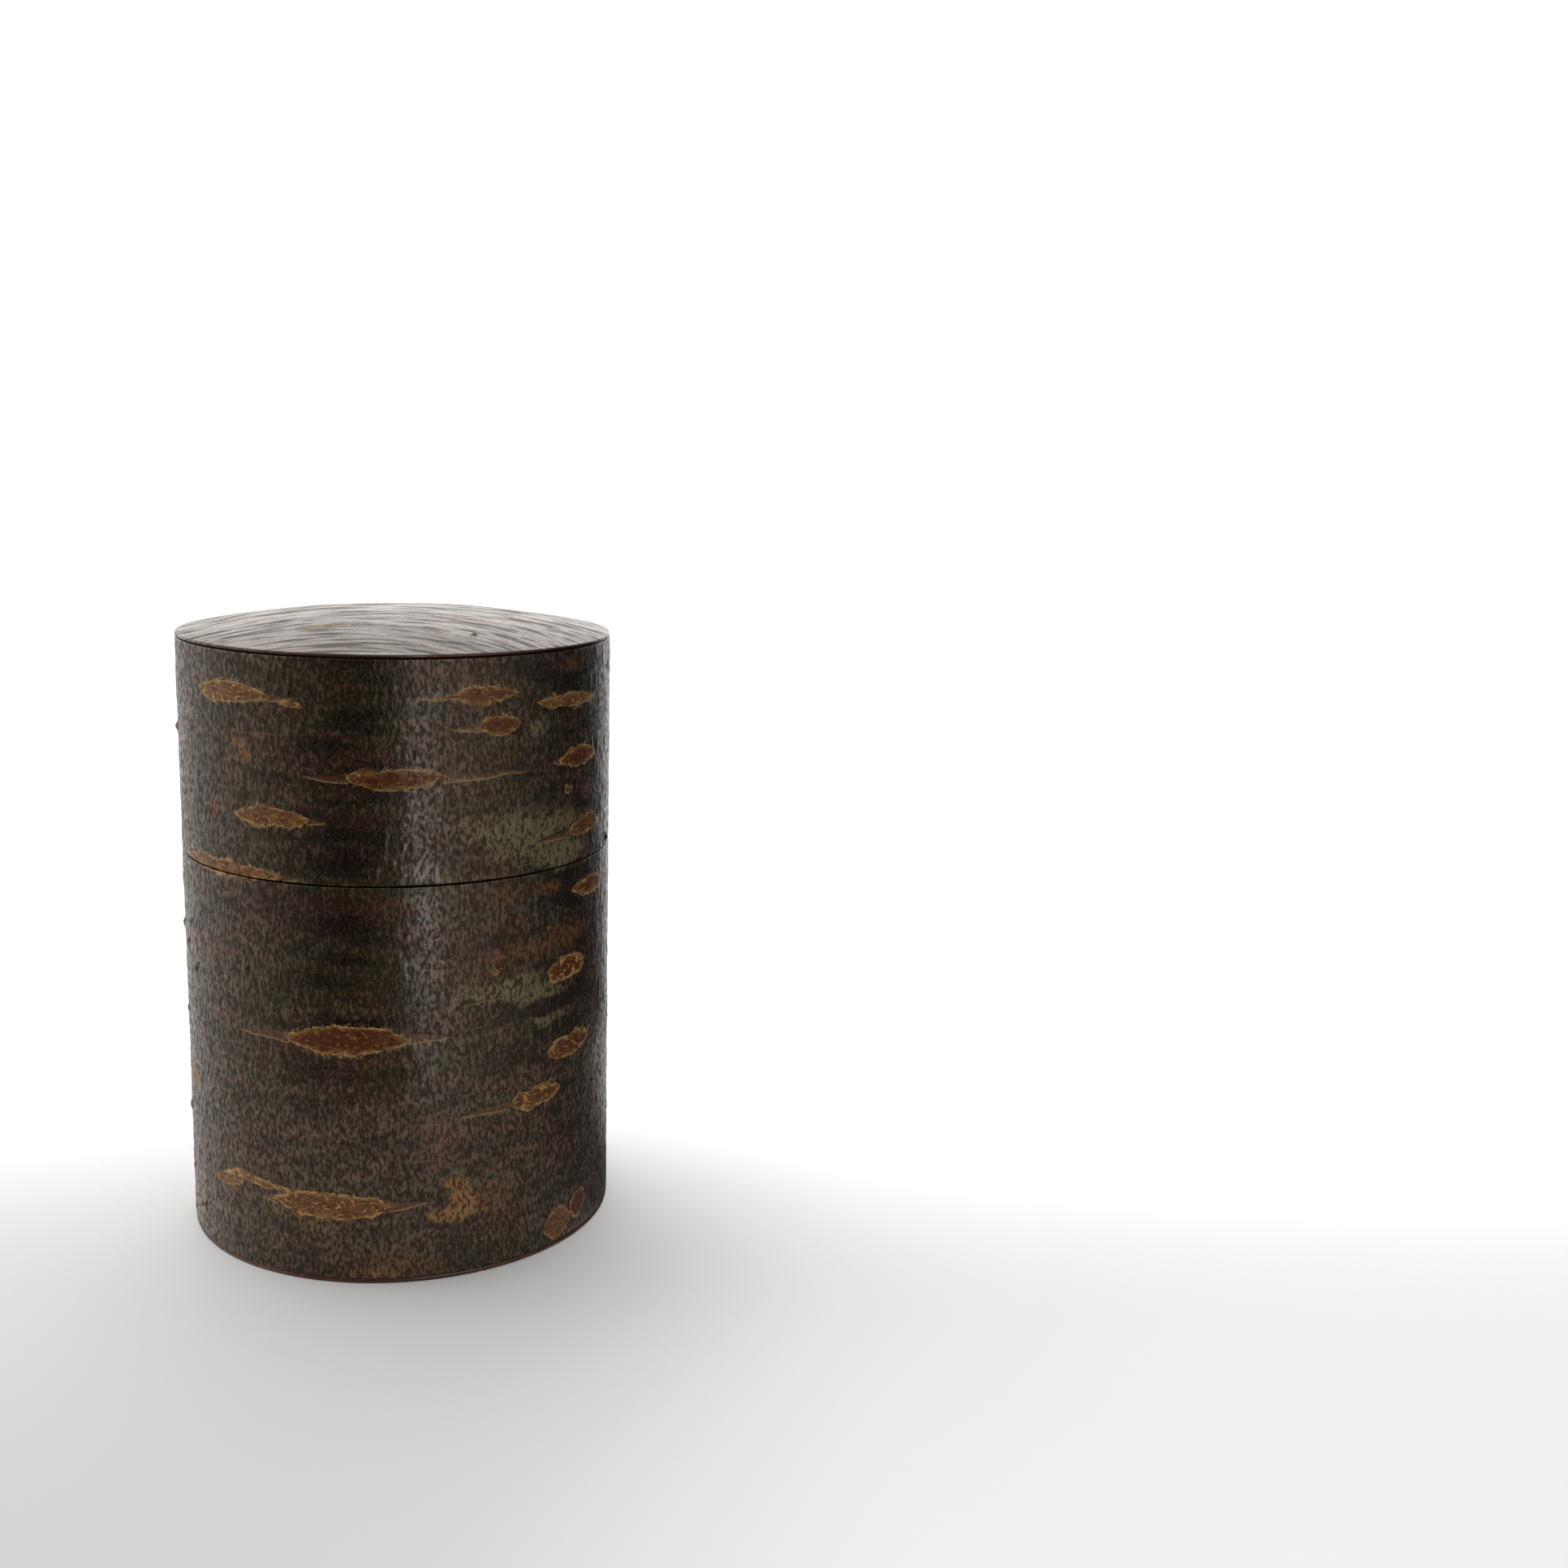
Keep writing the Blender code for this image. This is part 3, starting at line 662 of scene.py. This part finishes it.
def frosted_bark(name, grain_stretch, band_stretch, depth, polish, laid_out=None):
    """Wild cherry bark with its outer skin on, waxed: grey-brown crepe with stains, cracks and lenticels."""
    material, tree, shader = new_material(name)
    skin = in_millimetres(tree, (1.0, 1.0, 1.0), laid_out)
    grain = in_millimetres(tree, grain_stretch, laid_out)
    banding = in_millimetres(tree, band_stretch, laid_out)
    # The ground is purple-brown and olive-brown in bands; painted shade blackens the valleys, a painted
    # highlight greys the ridges.
    wrinkle = use_group(tree, crepe, {"Grain": grain, "Pitch": 0.56})
    bands = noise(tree, banding, 0.034, 2.0, 0.5)
    clouds = noise(tree, banding, 0.08, 3.0, 0.5)
    colour = mix_colour(tree, smooth_step(tree, bands, 0.42, 0.58), (0.0420, 0.0180, 0.0135),
                        (0.0320, 0.0245, 0.0105))
    colour = mix_colour(tree, smooth_step(tree, clouds, 0.54, 0.66), colour, (0.060, 0.0240, 0.0150))
    # Painted shade: the valleys between the wrinkles are darkened.
    colour = darken(tree, colour, wrinkle["Valley"], 0.8)
    # Painted highlight: the tops of the wrinkles are lifted to a lighter grey.
    ridge_painted_highlight = vector_maths(tree, "MULTIPLY_ADD", colour, (1.7,) * 3, (0.040, 0.032, 0.022))
    colour = mix_colour(tree, wrinkle["Ridge"], colour, ridge_painted_highlight)
    colour = darken(tree, colour, smooth_step(tree, clouds, 0.53, 0.37), 0.75)
    # Stains lie on the ridges and fade in the valleys.
    open_skin = minus(tree, 1.0, times(tree, wrinkle["Valley"], 0.85))
    patches = {  # colour, push of the ragged edge, speck size, softness, strength
        "rose": ((0.135, 0.046, 0.033), 1.3, 0.7, 0.9, 0.85),
        "rust": ((0.195, 0.072, 0.020), 1.6, 0.8, 0.9, 0.88),
        "lichen": ((0.230, 0.205, 0.100), 1.7, 0.9, 1.0, 0.90),
        "tan": ((0.36, 0.175, 0.050), 1.7, 0.8, 0.8, 0.90),
    }
    for kind, (paint, push, speck, softness, strength) in patches.items():
        level = minus(tree, field(tree, kind), 0.22)
        edge = {"Field": level, "Grain": skin, "Push": push, "Speck": speck, "Softness": softness}
        mask = use_group(tree, ragged, edge)["Mask"]
        mask = times(tree, times(tree, mask, strength), open_skin)
        colour = mix_colour(tree, mask, colour, paint)
    filling = use_group(tree, pore_fill, {
        "Depth": field(tree, "pore"), "Redness": field(tree, "redness"),
        "Veins": field(tree, "veins"), "Skin": skin,
    })
    # Painted shade darkens the bark round each lenticel.
    colour = darken(tree, colour, filling["Edge shade"], 0.7)
    # A crack is red-brown inside; painted shadow blackens its upper lip and painted light pales its lower
    # one.
    off, half = field(tree, "crack_off"), field(tree, "crack_half")
    jitter = times(tree, minus(tree, noise(tree, skin, 1.1, 3.0, 0.6), 0.5), 0.5)
    off = plus(tree, off, jitter)
    within = minus(tree, half, maths(tree, "ABSOLUTE", off))
    open_end = smooth_step(tree, half, 0.0, 0.06)
    in_crack = times(tree, smooth_step(tree, within, -0.05, 0.1), open_end)
    lip = times(tree, smooth_step(tree, maths(tree, "ABSOLUTE", within), 0.26, 0.07), open_end)
    shaded_upper_lip = times(tree, lip, smooth_step(tree, off, -0.02, 0.06))
    lit_lower_lip = times(tree, lip, smooth_step(tree, off, 0.06, -0.02))
    lit_lower_lip = times(tree, lit_lower_lip, smooth_step(tree, half, 0.05, 0.35, 0.3, 1.0))
    colour = mix_colour(tree, times(tree, in_crack, 0.85), colour, (0.115, 0.046, 0.020))
    # Painted light on the crack's lower lip.
    colour = mix_colour(tree, times(tree, lit_lower_lip, 0.8), colour, (0.32, 0.20, 0.085))
    # Painted shadow along the crack's upper lip.
    colour = mix_colour(tree, times(tree, shaded_upper_lip, 0.9), colour, (0.006, 0.003, 0.002))
    colour = mix_colour(tree, filling["Mask"], colour, filling["Colour"])
    # Darker bands in the sheet, some lying just above a lenticel.
    level = minus(tree, field(tree, "dark_band"), 0.25)
    dark_band_edge = {"Field": level, "Grain": grain, "Push": 0.7, "Speck": 0.8, "Softness": 0.6}
    dark_band = use_group(tree, ragged, dark_band_edge)["Mask"]
    colour = darken(tree, colour, dark_band, 0.8)
    colour = mix_colour(tree, field(tree, "nub"), colour, (0.010, 0.005, 0.003))
    colour = mix_colour(tree, field(tree, "cut_edge"), colour, (0.050, 0.014, 0.007))
    dull = plus(tree, times(tree, wrinkle["Valley"], 0.25), 0.20)
    dull = plus(tree, dull, times(tree, filling["Mask"], 0.12))
    shader.inputs["IOR"].default_value = 1.46
    shader.inputs["Specular Tint"].default_value = (1.0, 0.78, 0.56, 1.0)
    # The polish lies on the tops of the wrinkles and hardly reaches the valleys between them.
    wax = smooth_step(tree, wrinkle["Height"], 0.40, 0.60, 0.12, polish)
    wax = times(tree, wax, smooth_step(tree, noise(tree, skin, 0.9), 0.36, 0.58, 0.45, 1.0))
    wax = times(tree, wax, minus(tree, 1.0, times(tree, filling["Mask"], 0.5)))
    tree.links.new(wax, shader.inputs["Coat Weight"])
    shader.inputs["Coat Roughness"].default_value = 0.15
    shader.inputs["Coat IOR"].default_value = 1.5
    height = times(tree, wrinkle["Height"], minus(tree, 1.0, times(tree, filling["Mask"], 0.8)))
    height = plus(tree, height, times(tree, filling["Height"], 0.2))
    height = minus(tree, height, times(tree, shaded_upper_lip, 0.4))
    finish_surface(tree, shader, colour, dull, height, 1.0, depth)
    return material


side_bark = frosted_bark("frosted_bark", (1.0, 1.0, 0.5), (1.0, 1.0, 5.0), 0.14, 1.0)
body_bottom = 0.9  # the edge of the base disc shows below this
cut_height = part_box("body_bark_sleeve")[1].z / MM
body_sleeve = bark_sleeve("body_bark", "body_bark_sleeve", body_bottom, cut_height, 820, 112, side_bark)
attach(body_sleeve, "caddy")
lid_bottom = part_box("lid_bark_sleeve")[0].z / MM
lid_top = SHEET_TOP + 0.44  # up to the rim of the top disc
lid_sleeve = bark_sleeve("lid_bark", "lid_bark_sleeve", lid_bottom, lid_top, 900, 100, side_bark)
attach(lid_sleeve, "lid")


# Lid's top disc
# A disc of the same bark, polished smoother and crowned over the board, is glued on the end of the lid and
# trimmed flush with the sleeve. Its grain bows across it, and its cut edge shows red-brown round the rim.
disc_low, disc_high = (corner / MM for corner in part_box("lid_top_bark"))
DISC_THICKNESS = 0.8
RIM_HEIGHT = disc_low.z + DISC_THICKNESS
CROWN = disc_high.z - RIM_HEIGHT
RIM_ROUND = 0.35
SEAT = 0.38  # the disc's underside is let into the sleeve this deep
disc_lenticels = [
    (8.0, 22.0, 9.0, 1.5, 0.00, 0.5, 0.6, 6, 5), (-17.0, 9.0, 7.0, 1.2, 0.02, 0.8, 0.4, 0, 8),
    (16.0, -6.0, 6.0, 1.1, 0.00, 0.3, 0.6, 5, 0), (-9.0, -21.0, 5.5, 1.1, 0.05, 0.6, 0.4, 0, 7),
    (-22.0, 27.0, 5.0, 1.0, 0.00, 0.4, 0.5, 4, 4),
]
disc_stains = {
    "rust": [(-12.0, 2.0, 7.0, 2.5, 0.0, 0.6), (22.0, 10.0, 6.0, 2.0, 0.0, 0.5)],
    "tan": [(4.0, -12.0, 4.0, 1.2, 0.0, 0.5)],
    "lichen": [(24.0, 4.0, 10.0, 5.0, 0.0, 0.8), (-6.0, 30.0, 12.0, 3.0, 0.0, 0.7)],
    "rose": [(-4.0, 14.0, 12.0, 3.0, 0.0, 0.9), (10.0, -24.0, 9.0, 3.0, 0.0, 0.7)],
    "dark_band": [(-20.0, -8.0, 9.0, 2.0, 0.0, 0.8), (2.0, 36.0, 12.0, 1.5, 0.0, 0.9)],
}
disc_cracks = [(-14.0, -14.0, 15.0, 0.12, 0.25), (-30.0, 2.0, 14.0, 0.1, 0.2), (0.0, 27.5, 22.0, 0.0, 0.25),
               (6.0, 15.0, 12.0, 0.02, 0.16), (-20.0, 18.0, 13.0, 0.05, 0.2)]


def to_degrees(marks):
    """The disc's marks are placed in millimetres across it, and the sheet's in degrees round it."""
    return [(mark[0] * 360 / GIRTH, *mark[1:]) for mark in marks]


def crowned_disc(material):
    columns, rings = 400, 150
    edge = SHEET_RADIUS - RIM_ROUND
    radius = [0.02] + list(np.linspace(0.3, edge, rings))
    height = [RIM_HEIGHT + CROWN * (1 - (r / SHEET_RADIUS) ** 2) for r in radius]
    for degrees in (30, 60, 90):
        radius.append(edge + RIM_ROUND * math.sin(math.radians(degrees)))
        height.append(height[rings] - RIM_ROUND * (1 - math.cos(math.radians(degrees))))
    radius += [SHEET_RADIUS, SHEET_RADIUS - 0.3, SHEET_RADIUS - 0.3, SHEET_RADIUS - 3.0, 0.02]
    height += [disc_low.z + SEAT + 0.04, disc_low.z + SEAT, disc_low.z, disc_low.z, disc_low.z]
    angle = np.arange(columns) * math.tau / columns
    R, A = np.meshgrid(np.array(radius), angle, indexing="ij")
    x, y = (R * np.sin(A)).ravel(), (-R * np.cos(A)).ravel()
    z = np.repeat(np.array(height)[:, None], columns, 1).ravel()
    bowed = y + (x - 2) ** 2 / 90
    fields = bark_marks(x, bowed, to_degrees(disc_lenticels),
                        {kind: to_degrees(patches) for kind, patches in disc_stains.items()},
                        to_degrees(disc_cracks), [])
    fields["nub"] = np.exp(-(np.hypot(x - 19, y + 23) / 0.55) ** 2)
    streaks = sheet_noise(x, bowed, 6.0, 0.9, 41) + 0.8 * sheet_noise(x, bowed, 3.0, 1.6, 42)
    streaks = eased(streaks, -0.1, 0.9)
    on_face = (np.arange(len(radius)) <= rings).repeat(columns) * eased(SHEET_RADIUS - R.ravel(), 0.2, 1.5)
    crack = np.clip(fields["crack_half"], 0, 1) * np.exp(-(fields["crack_off"] / 0.4) ** 2)
    relief = 0.05 * streaks + 0.08 * sheet_noise(x, bowed, 9.0, 5.0, 43) - 0.35 * crack
    relief += 0.06 * eased(fields["pore"], -0.4, 0.4) + 0.5 * fields["nub"]
    z += relief * on_face * (R.ravel() > 0.1)
    points = np.stack([x, y, z], 1) * MM
    faces = [face[::-1] for face in ring_faces(len(radius), columns)]
    first, last = range(columns), range((len(radius) - 1) * columns, len(radius) * columns)
    faces += [list(first), list(last)[::-1]]
    fields["bowed"] = np.stack([x, bowed, z], 1)
    fields["cut_edge"] = 1 - eased(SHEET_RADIUS - R.ravel(), 0.05, 0.35) * (z > disc_low.z + SEAT + 0.02)
    piece = add_mesh("lid_top_disc", points.tolist(), faces, material)
    set_fields(piece, fields)
    return piece


disc_bark = frosted_bark("top_disc_bark", (0.05, 0.45, 0.45), (0.3, 2.0, 1.0), 0.04, 0.62, "bowed")
top_disc = crowned_disc(disc_bark)
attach(top_disc, "lid")
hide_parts("lid_top_bark")


# Base disc
# A disc of bark scraped smooth and polished, glued under the base board. Only its edge shows from the side.
def softened(outline, radius):
    """A closed outline of (radius, height) with each corner eased by a short curve, except on the axis."""
    eased_outline = []
    for before, corner, after in zip(outline[-1:] + outline[:-1], outline, outline[1:] + outline[:1]):
        if corner[0] == 0:
            eased_outline.append(corner)
            continue
        starts = []
        for other in (before, after):
            length = math.dist(corner, other)
            share = min(radius / length, 0.45)
            starts.append([c + (o - c) * share for c, o in zip(corner, other)])
        for t in (0.0, 0.35, 0.65, 1.0):
            eased_outline.append(tuple(
                (1 - t) ** 2 * a + 2 * t * (1 - t) * c + t ** 2 * b
                for a, c, b in zip(starts[0], corner, starts[1])
            ))
    return eased_outline


def turned(name, outline, material, columns=144):
    """A piece turned about the drum's axis from a closed outline in millimetres, outer side upwards."""
    points, loops, faces = [], [], []
    for radius, height in outline:
        count = columns if radius else 1
        loops.append([len(points) + k % count for k in range(columns + 1)])
        points += [ring_point(radius * MM, height * MM, k, count) for k in range(count)]
    for lower, upper in zip(loops, loops[1:] + loops[:1]):
        for k in range(columns):
            face = list(dict.fromkeys((lower[k], lower[k + 1], upper[k + 1], upper[k])))
            if len(face) > 2:
                faces.append(face)
    return add_mesh(name, points, faces, material)


def turned_ring(name, inner, outer, bottom, top, soft, material):
    outline = [(inner, bottom), (outer, bottom), (outer, top), (inner, top)]
    return turned(name, softened(outline, soft), material)


def turned_disc(name, radius, bottom, top, soft, material):
    outline = [(0.0, bottom), (radius, bottom), (radius, top), (0.0, top)]
    return turned(name, softened(outline, soft), material)


def sizes(node_name):
    """A CAD node's outer radius, bottom and top in millimetres."""
    low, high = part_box(node_name)
    return high.x / MM, low.z / MM, high.z / MM


# Scraped bark: red-brown with paler and darker drifts, crossed by fine dark lenticel dashes.
scraped, given, result = new_group(
    "scraped_bark",
    {"Skin": "Vector", "Drawn out": "Vector"},
    {"Colour": "Color", "Dash": "Float", "Dull": "Float"},
)
tree = scraped
drift = noise(tree, given["Drawn out"], 0.035, 4.0, 0.6)
colour = mix_colour(tree, smooth_step(tree, drift, 0.35, 0.65), (0.060, 0.016, 0.007),
                    (0.150, 0.046, 0.018))
thread = noise(tree, given["Drawn out"], 0.5, 2.0, 0.6)
colour = darken(tree, colour, smooth_step(tree, thread, 0.55, 0.35), 0.35)
short_lines = noise(tree, given["Drawn out"], 0.12, 1.0, 0.4)
dash = smooth_step(tree, short_lines, 0.665, 0.70)
colour = mix_colour(tree, dash, colour, (0.030, 0.010, 0.006))
pale_line = times(tree, smooth_step(tree, short_lines, 0.625, 0.66),
                  smooth_step(tree, short_lines, 0.70, 0.665))
colour = mix_colour(tree, times(tree, pale_line, 0.5), colour, (0.22, 0.09, 0.035))
tree.links.new(colour, result["Colour"])
tree.links.new(dash, result["Dash"])
tree.links.new(noise(tree, given["Skin"], 0.3, 3.0, 0.6), result["Dull"])


def thin_bark(name, drawn_out, joint_turn=None):
    """Bark scraped to its smooth inner skin and polished, its fibres drawn out one way.

    A strip that is bent round closes on itself in a thin upright joint at joint_turn degrees.
    """
    material, tree, shader = new_material(name)
    skin = in_millimetres(tree, (1.0, 1.0, 1.0))
    bark = use_group(tree, scraped, {"Skin": skin, "Drawn out": in_millimetres(tree, drawn_out)})
    colour = bark["Colour"]
    height = times(tree, bark["Dash"], -1.0)
    if joint_turn is not None:
        way = node(tree, "SeparateXYZ", {0: skin})
        turn = math.radians(joint_turn)
        across = plus(tree, times(tree, way.outputs["X"], math.cos(turn)),
                       times(tree, way.outputs["Y"], math.sin(turn)))
        facing = minus(tree, times(tree, way.outputs["X"], math.sin(turn)),
                       times(tree, way.outputs["Y"], math.cos(turn)))
        joint = times(tree, smooth_step(tree, maths(tree, "ABSOLUTE", across), 0.16, 0.06),
                      maths(tree, "GREATER_THAN", facing, 0.0))
        colour = darken(tree, colour, joint, 0.85)
        height = minus(tree, height, joint)
    dull = smooth_step(tree, bark["Dull"], 0.3, 0.7, 0.22, 0.36)
    shader.inputs["IOR"].default_value = 1.52
    finish_surface(tree, shader, colour, dull, height, 0.6, 0.06)
    return material


AROUND = (1.0, 1.0, 9.0)  # fibres that run round a strip
ACROSS = (1.0, 9.0, 1.0)  # fibres that run across a disc
radius, bottom, top = sizes("base_bark")
base_disc = turned_disc("base_disc", radius, bottom, top + 0.08, 0.4, thin_bark("base_disc_bark", ACROSS))
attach(base_disc, "caddy")
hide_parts("base_bark")


# Body's inside: floor, mouth lining and shoulder ring
# Thin bark lines the tea space: a disc over the base board and a strip round the mouth. A bark ring is glued
# over the cut end of the drum, flush with the sleeve, where the lid's edge comes down.
radius, bottom, top = sizes("floor_bark")
floor_disc = turned_disc("floor_disc", radius, bottom, top + 0.1, 0.15, thin_bark("floor_bark", ACROSS))
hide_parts("floor_bark")
THIN = 0.5  # thickness of the scraped bark on the tubes
tube_radius, tube_bottom, _ = sizes("inner_tube_bark")
mouth_radius = sizes("inner_tube_lining")[0] - THIN
_, _, neck_top = sizes("neck_rim_ring")
rim_bottom = neck_top - 0.68
mouth_lining = turned_ring("mouth_lining", mouth_radius, mouth_radius + THIN, tube_bottom, rim_bottom, 0.1,
                           thin_bark("mouth_lining_bark", AROUND, 152))
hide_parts("inner_tube_lining")
_, bottom, top = sizes("body_shoulder_ring")
ring_bark = thin_bark("ring_bark", (2.5, 2.5, 2.5))
shoulder = turned_ring("shoulder_ring", tube_radius + 0.04, SHEET_INNER - 0.03, bottom, top, 0.18, ring_bark)
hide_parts("body_shoulder_ring")


# Neck
# The inner tube stands above the body as a neck that the lid slides down over. Its outside is polished bark,
# and a rounded bark ring covers the tube's cut end.
neck_bark = turned_ring("neck_bark", tube_radius - THIN, tube_radius, tube_bottom, rim_bottom, 0.1,
                        thin_bark("neck_bark", AROUND, 205))
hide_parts("inner_tube_bark")
neck_rim = turned_ring("neck_rim", mouth_radius, tube_radius, rim_bottom, neck_top, 0.3, ring_bark)
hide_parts("neck_rim_ring")
for piece in (floor_disc, mouth_lining, shoulder, neck_bark, neck_rim):
    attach(piece, "caddy")


# Lid's inside
# The lid is lined with polished bark, with a bark disc as its ceiling and a ring over its cut lower end.
_, bottom, top = sizes("lid_edge_ring")
lining_outer, _, lining_top = sizes("lid_core_lining")
lining_inner = lining_outer - THIN
lid_rim = turned_ring("lid_rim_ring", lining_inner, SHEET_INNER - 0.03, bottom, top + 0.1, 0.18, ring_bark)
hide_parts("lid_edge_ring")
lid_lining = turned_ring("lid_lining", lining_inner, lining_outer, top + 0.1, lining_top + 0.2, 0.1,
                         thin_bark("lid_lining_bark", AROUND, 118))
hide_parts("lid_core_lining")
radius, bottom, top = sizes("lid_ceiling_bark")
ceiling = turned_disc("lid_ceiling", radius, bottom, top, 0.15, thin_bark("ceiling_bark", ACROSS))
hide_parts("lid_ceiling_bark")
for piece in (lid_rim, lid_lining, ceiling):
    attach(piece, "lid")


# Inner lid
# A bark-faced plate with a band round its edge rests on the neck's rim. A short skirt, barked on both sides
# and over its lower edge, fits the mouth and keeps the tea from the air.
plate_radius, band_bottom, plate_top = sizes("inner_lid_edge_band")
face_radius, face_bottom, face_top = sizes("inner_lid_top_bark")
plate_bark = thin_bark("plate_bark", ACROSS)
TENON_HOLE = 3.0
plate_face = turned_ring("plate_face", TENON_HOLE, face_radius + 0.25, face_bottom, face_top, 0.15,
                         plate_bark)
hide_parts("inner_lid_top_bark")
plate_band = turned_ring("plate_band", face_radius + 0.28, plate_radius, band_bottom, plate_top, 0.22,
                         thin_bark("plate_band_bark", AROUND, 60))
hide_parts("inner_lid_edge_band")
radius, bottom, top = sizes("inner_lid_under_bark")
plate_back = turned_disc("plate_back", radius + 0.25, bottom, top, 0.1, plate_bark)
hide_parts("inner_lid_under_bark")
skirt_outer, _, _ = sizes("inner_lid_skirt_bark")
skirt_inner = sizes("inner_lid_skirt_lining")[0] - THIN
_, edge_bottom, edge_top = sizes("inner_lid_skirt_edge")
skirt_outside = turned_ring("skirt_outside", skirt_outer - THIN, skirt_outer, edge_top + 0.05, bottom, 0.08,
                            thin_bark("skirt_bark", AROUND, 240))
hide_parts("inner_lid_skirt_bark")
skirt_inside = turned_ring("skirt_inside", skirt_inner, skirt_inner + THIN, edge_top + 0.05, bottom, 0.08,
                           thin_bark("skirt_lining_bark", AROUND, 15))
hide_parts("inner_lid_skirt_lining")
skirt_edge = turned_ring("skirt_edge", skirt_inner, skirt_outer, edge_bottom, edge_top + 0.03, 0.25,
                         ring_bark)
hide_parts("inner_lid_skirt_edge")
for piece in (plate_face, plate_band, plate_back, skirt_outside, skirt_inside, skirt_edge):
    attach(piece, "inner_lid")


# Knob
# Many layers of bark are glued into a block, turned to a low button on a waisted foot, and polished, so the
# layers show as fine lines round it. Its tenon goes into the plate.
knob_radius, tenon_bottom, knob_top = sizes("inner_lid_knob")
WAIST, TENON = 4.0, 2.4
FOOT = WAIST * 1.15 + 0.2
BUTTON_HALF = 2.66  # half the button's height, and the radius of its rounded edge
button_middle = knob_top - BUTTON_HALF
knob_outline = [(0.0, tenon_bottom), (TENON, tenon_bottom), (TENON, plate_top - 0.2)]
knob_outline.append((FOOT + 0.05, plate_top - 0.02))
FLARE_FROM = 0.62  # share of the foot's height above which it widens again to the button
for k in range(9):
    share = k / 8
    hollow = math.sin(math.pi * share * FLARE_FROM)
    foot_radius = FOOT - (FOOT - WAIST) * hollow + max(0.0, share - FLARE_FROM) * 1.6
    knob_outline.append((foot_radius, plate_top + 0.12 + (button_middle - 2.0 - plate_top) * share))
flat_radius = knob_radius - BUTTON_HALF
for degrees in range(-60, 91, 10):
    out = BUTTON_HALF * math.cos(math.radians(degrees))
    up = BUTTON_HALF * math.sin(math.radians(degrees))
    knob_outline.append((flat_radius + out, button_middle + up))
for share in (0.75, 0.5, 0.25):
    knob_outline.append((flat_radius * share, knob_top))
knob_outline.append((0.0, knob_top))
stacked_bark, tree, shader = new_material("stacked_bark")
layered = in_millimetres(tree, (0.06, 0.06, 2.2))
leaf = noise(tree, layered, 1.0, 3.0, 0.6)
colour = mix_colour(tree, smooth_step(tree, leaf, 0.40, 0.60), (0.030, 0.008, 0.004), (0.130, 0.045, 0.018))
fleck = noise(tree, in_millimetres(tree, (0.5, 0.5, 3.0)), 1.0, 3.0, 0.6)
colour = mix_colour(tree, smooth_step(tree, fleck, 0.62, 0.70), colour, (0.24, 0.11, 0.045))
shader.inputs["IOR"].default_value = 1.54
finish_surface(tree, shader, colour, smooth_step(tree, leaf, 0.3, 0.7, 0.16, 0.28), leaf, 0.4, 0.05)
knob = turned("knob", knob_outline, stacked_bark, 96)
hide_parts("inner_lid_knob")
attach(knob, "inner_lid")


# Rolled wood that the bark is glued to
# Sheets of pale wood rolled hot into tubes, and flat boards between them. Bark covers nearly all of it.
core_wood, tree, shader = new_material("rolled_core_wood")
growth = noise(tree, in_millimetres(tree, (1.0, 1.0, 0.06)), 0.6, 4.0, 0.6)
pore_lines = noise(tree, in_millimetres(tree, (3.0, 3.0, 0.15)), 1.0, 2.0, 0.5)
colour = mix_colour(tree, smooth_step(tree, growth, 0.35, 0.65), (0.38, 0.23, 0.12), (0.56, 0.38, 0.22))
colour = darken(tree, colour, smooth_step(tree, pore_lines, 0.60, 0.72), 0.4)
dull = smooth_step(tree, growth, 0.3, 0.7, 0.55, 0.70)
finish_surface(tree, shader, colour, dull, pore_lines, 0.3, 0.05)
hidden_lining_bark = thin_bark("hidden_lining_bark", AROUND)
core_nodes = {
    "base_board": core_wood, "body_core": core_wood, "body_core_lining": hidden_lining_bark,
    "inner_tube_core": core_wood, "lid_core": core_wood, "lid_top_board": core_wood,
    "inner_lid_board": core_wood, "inner_lid_skirt_core": core_wood,
}
for name, finish in core_nodes.items():
    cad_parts[name].data.materials.clear()
    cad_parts[name].data.materials.append(finish)
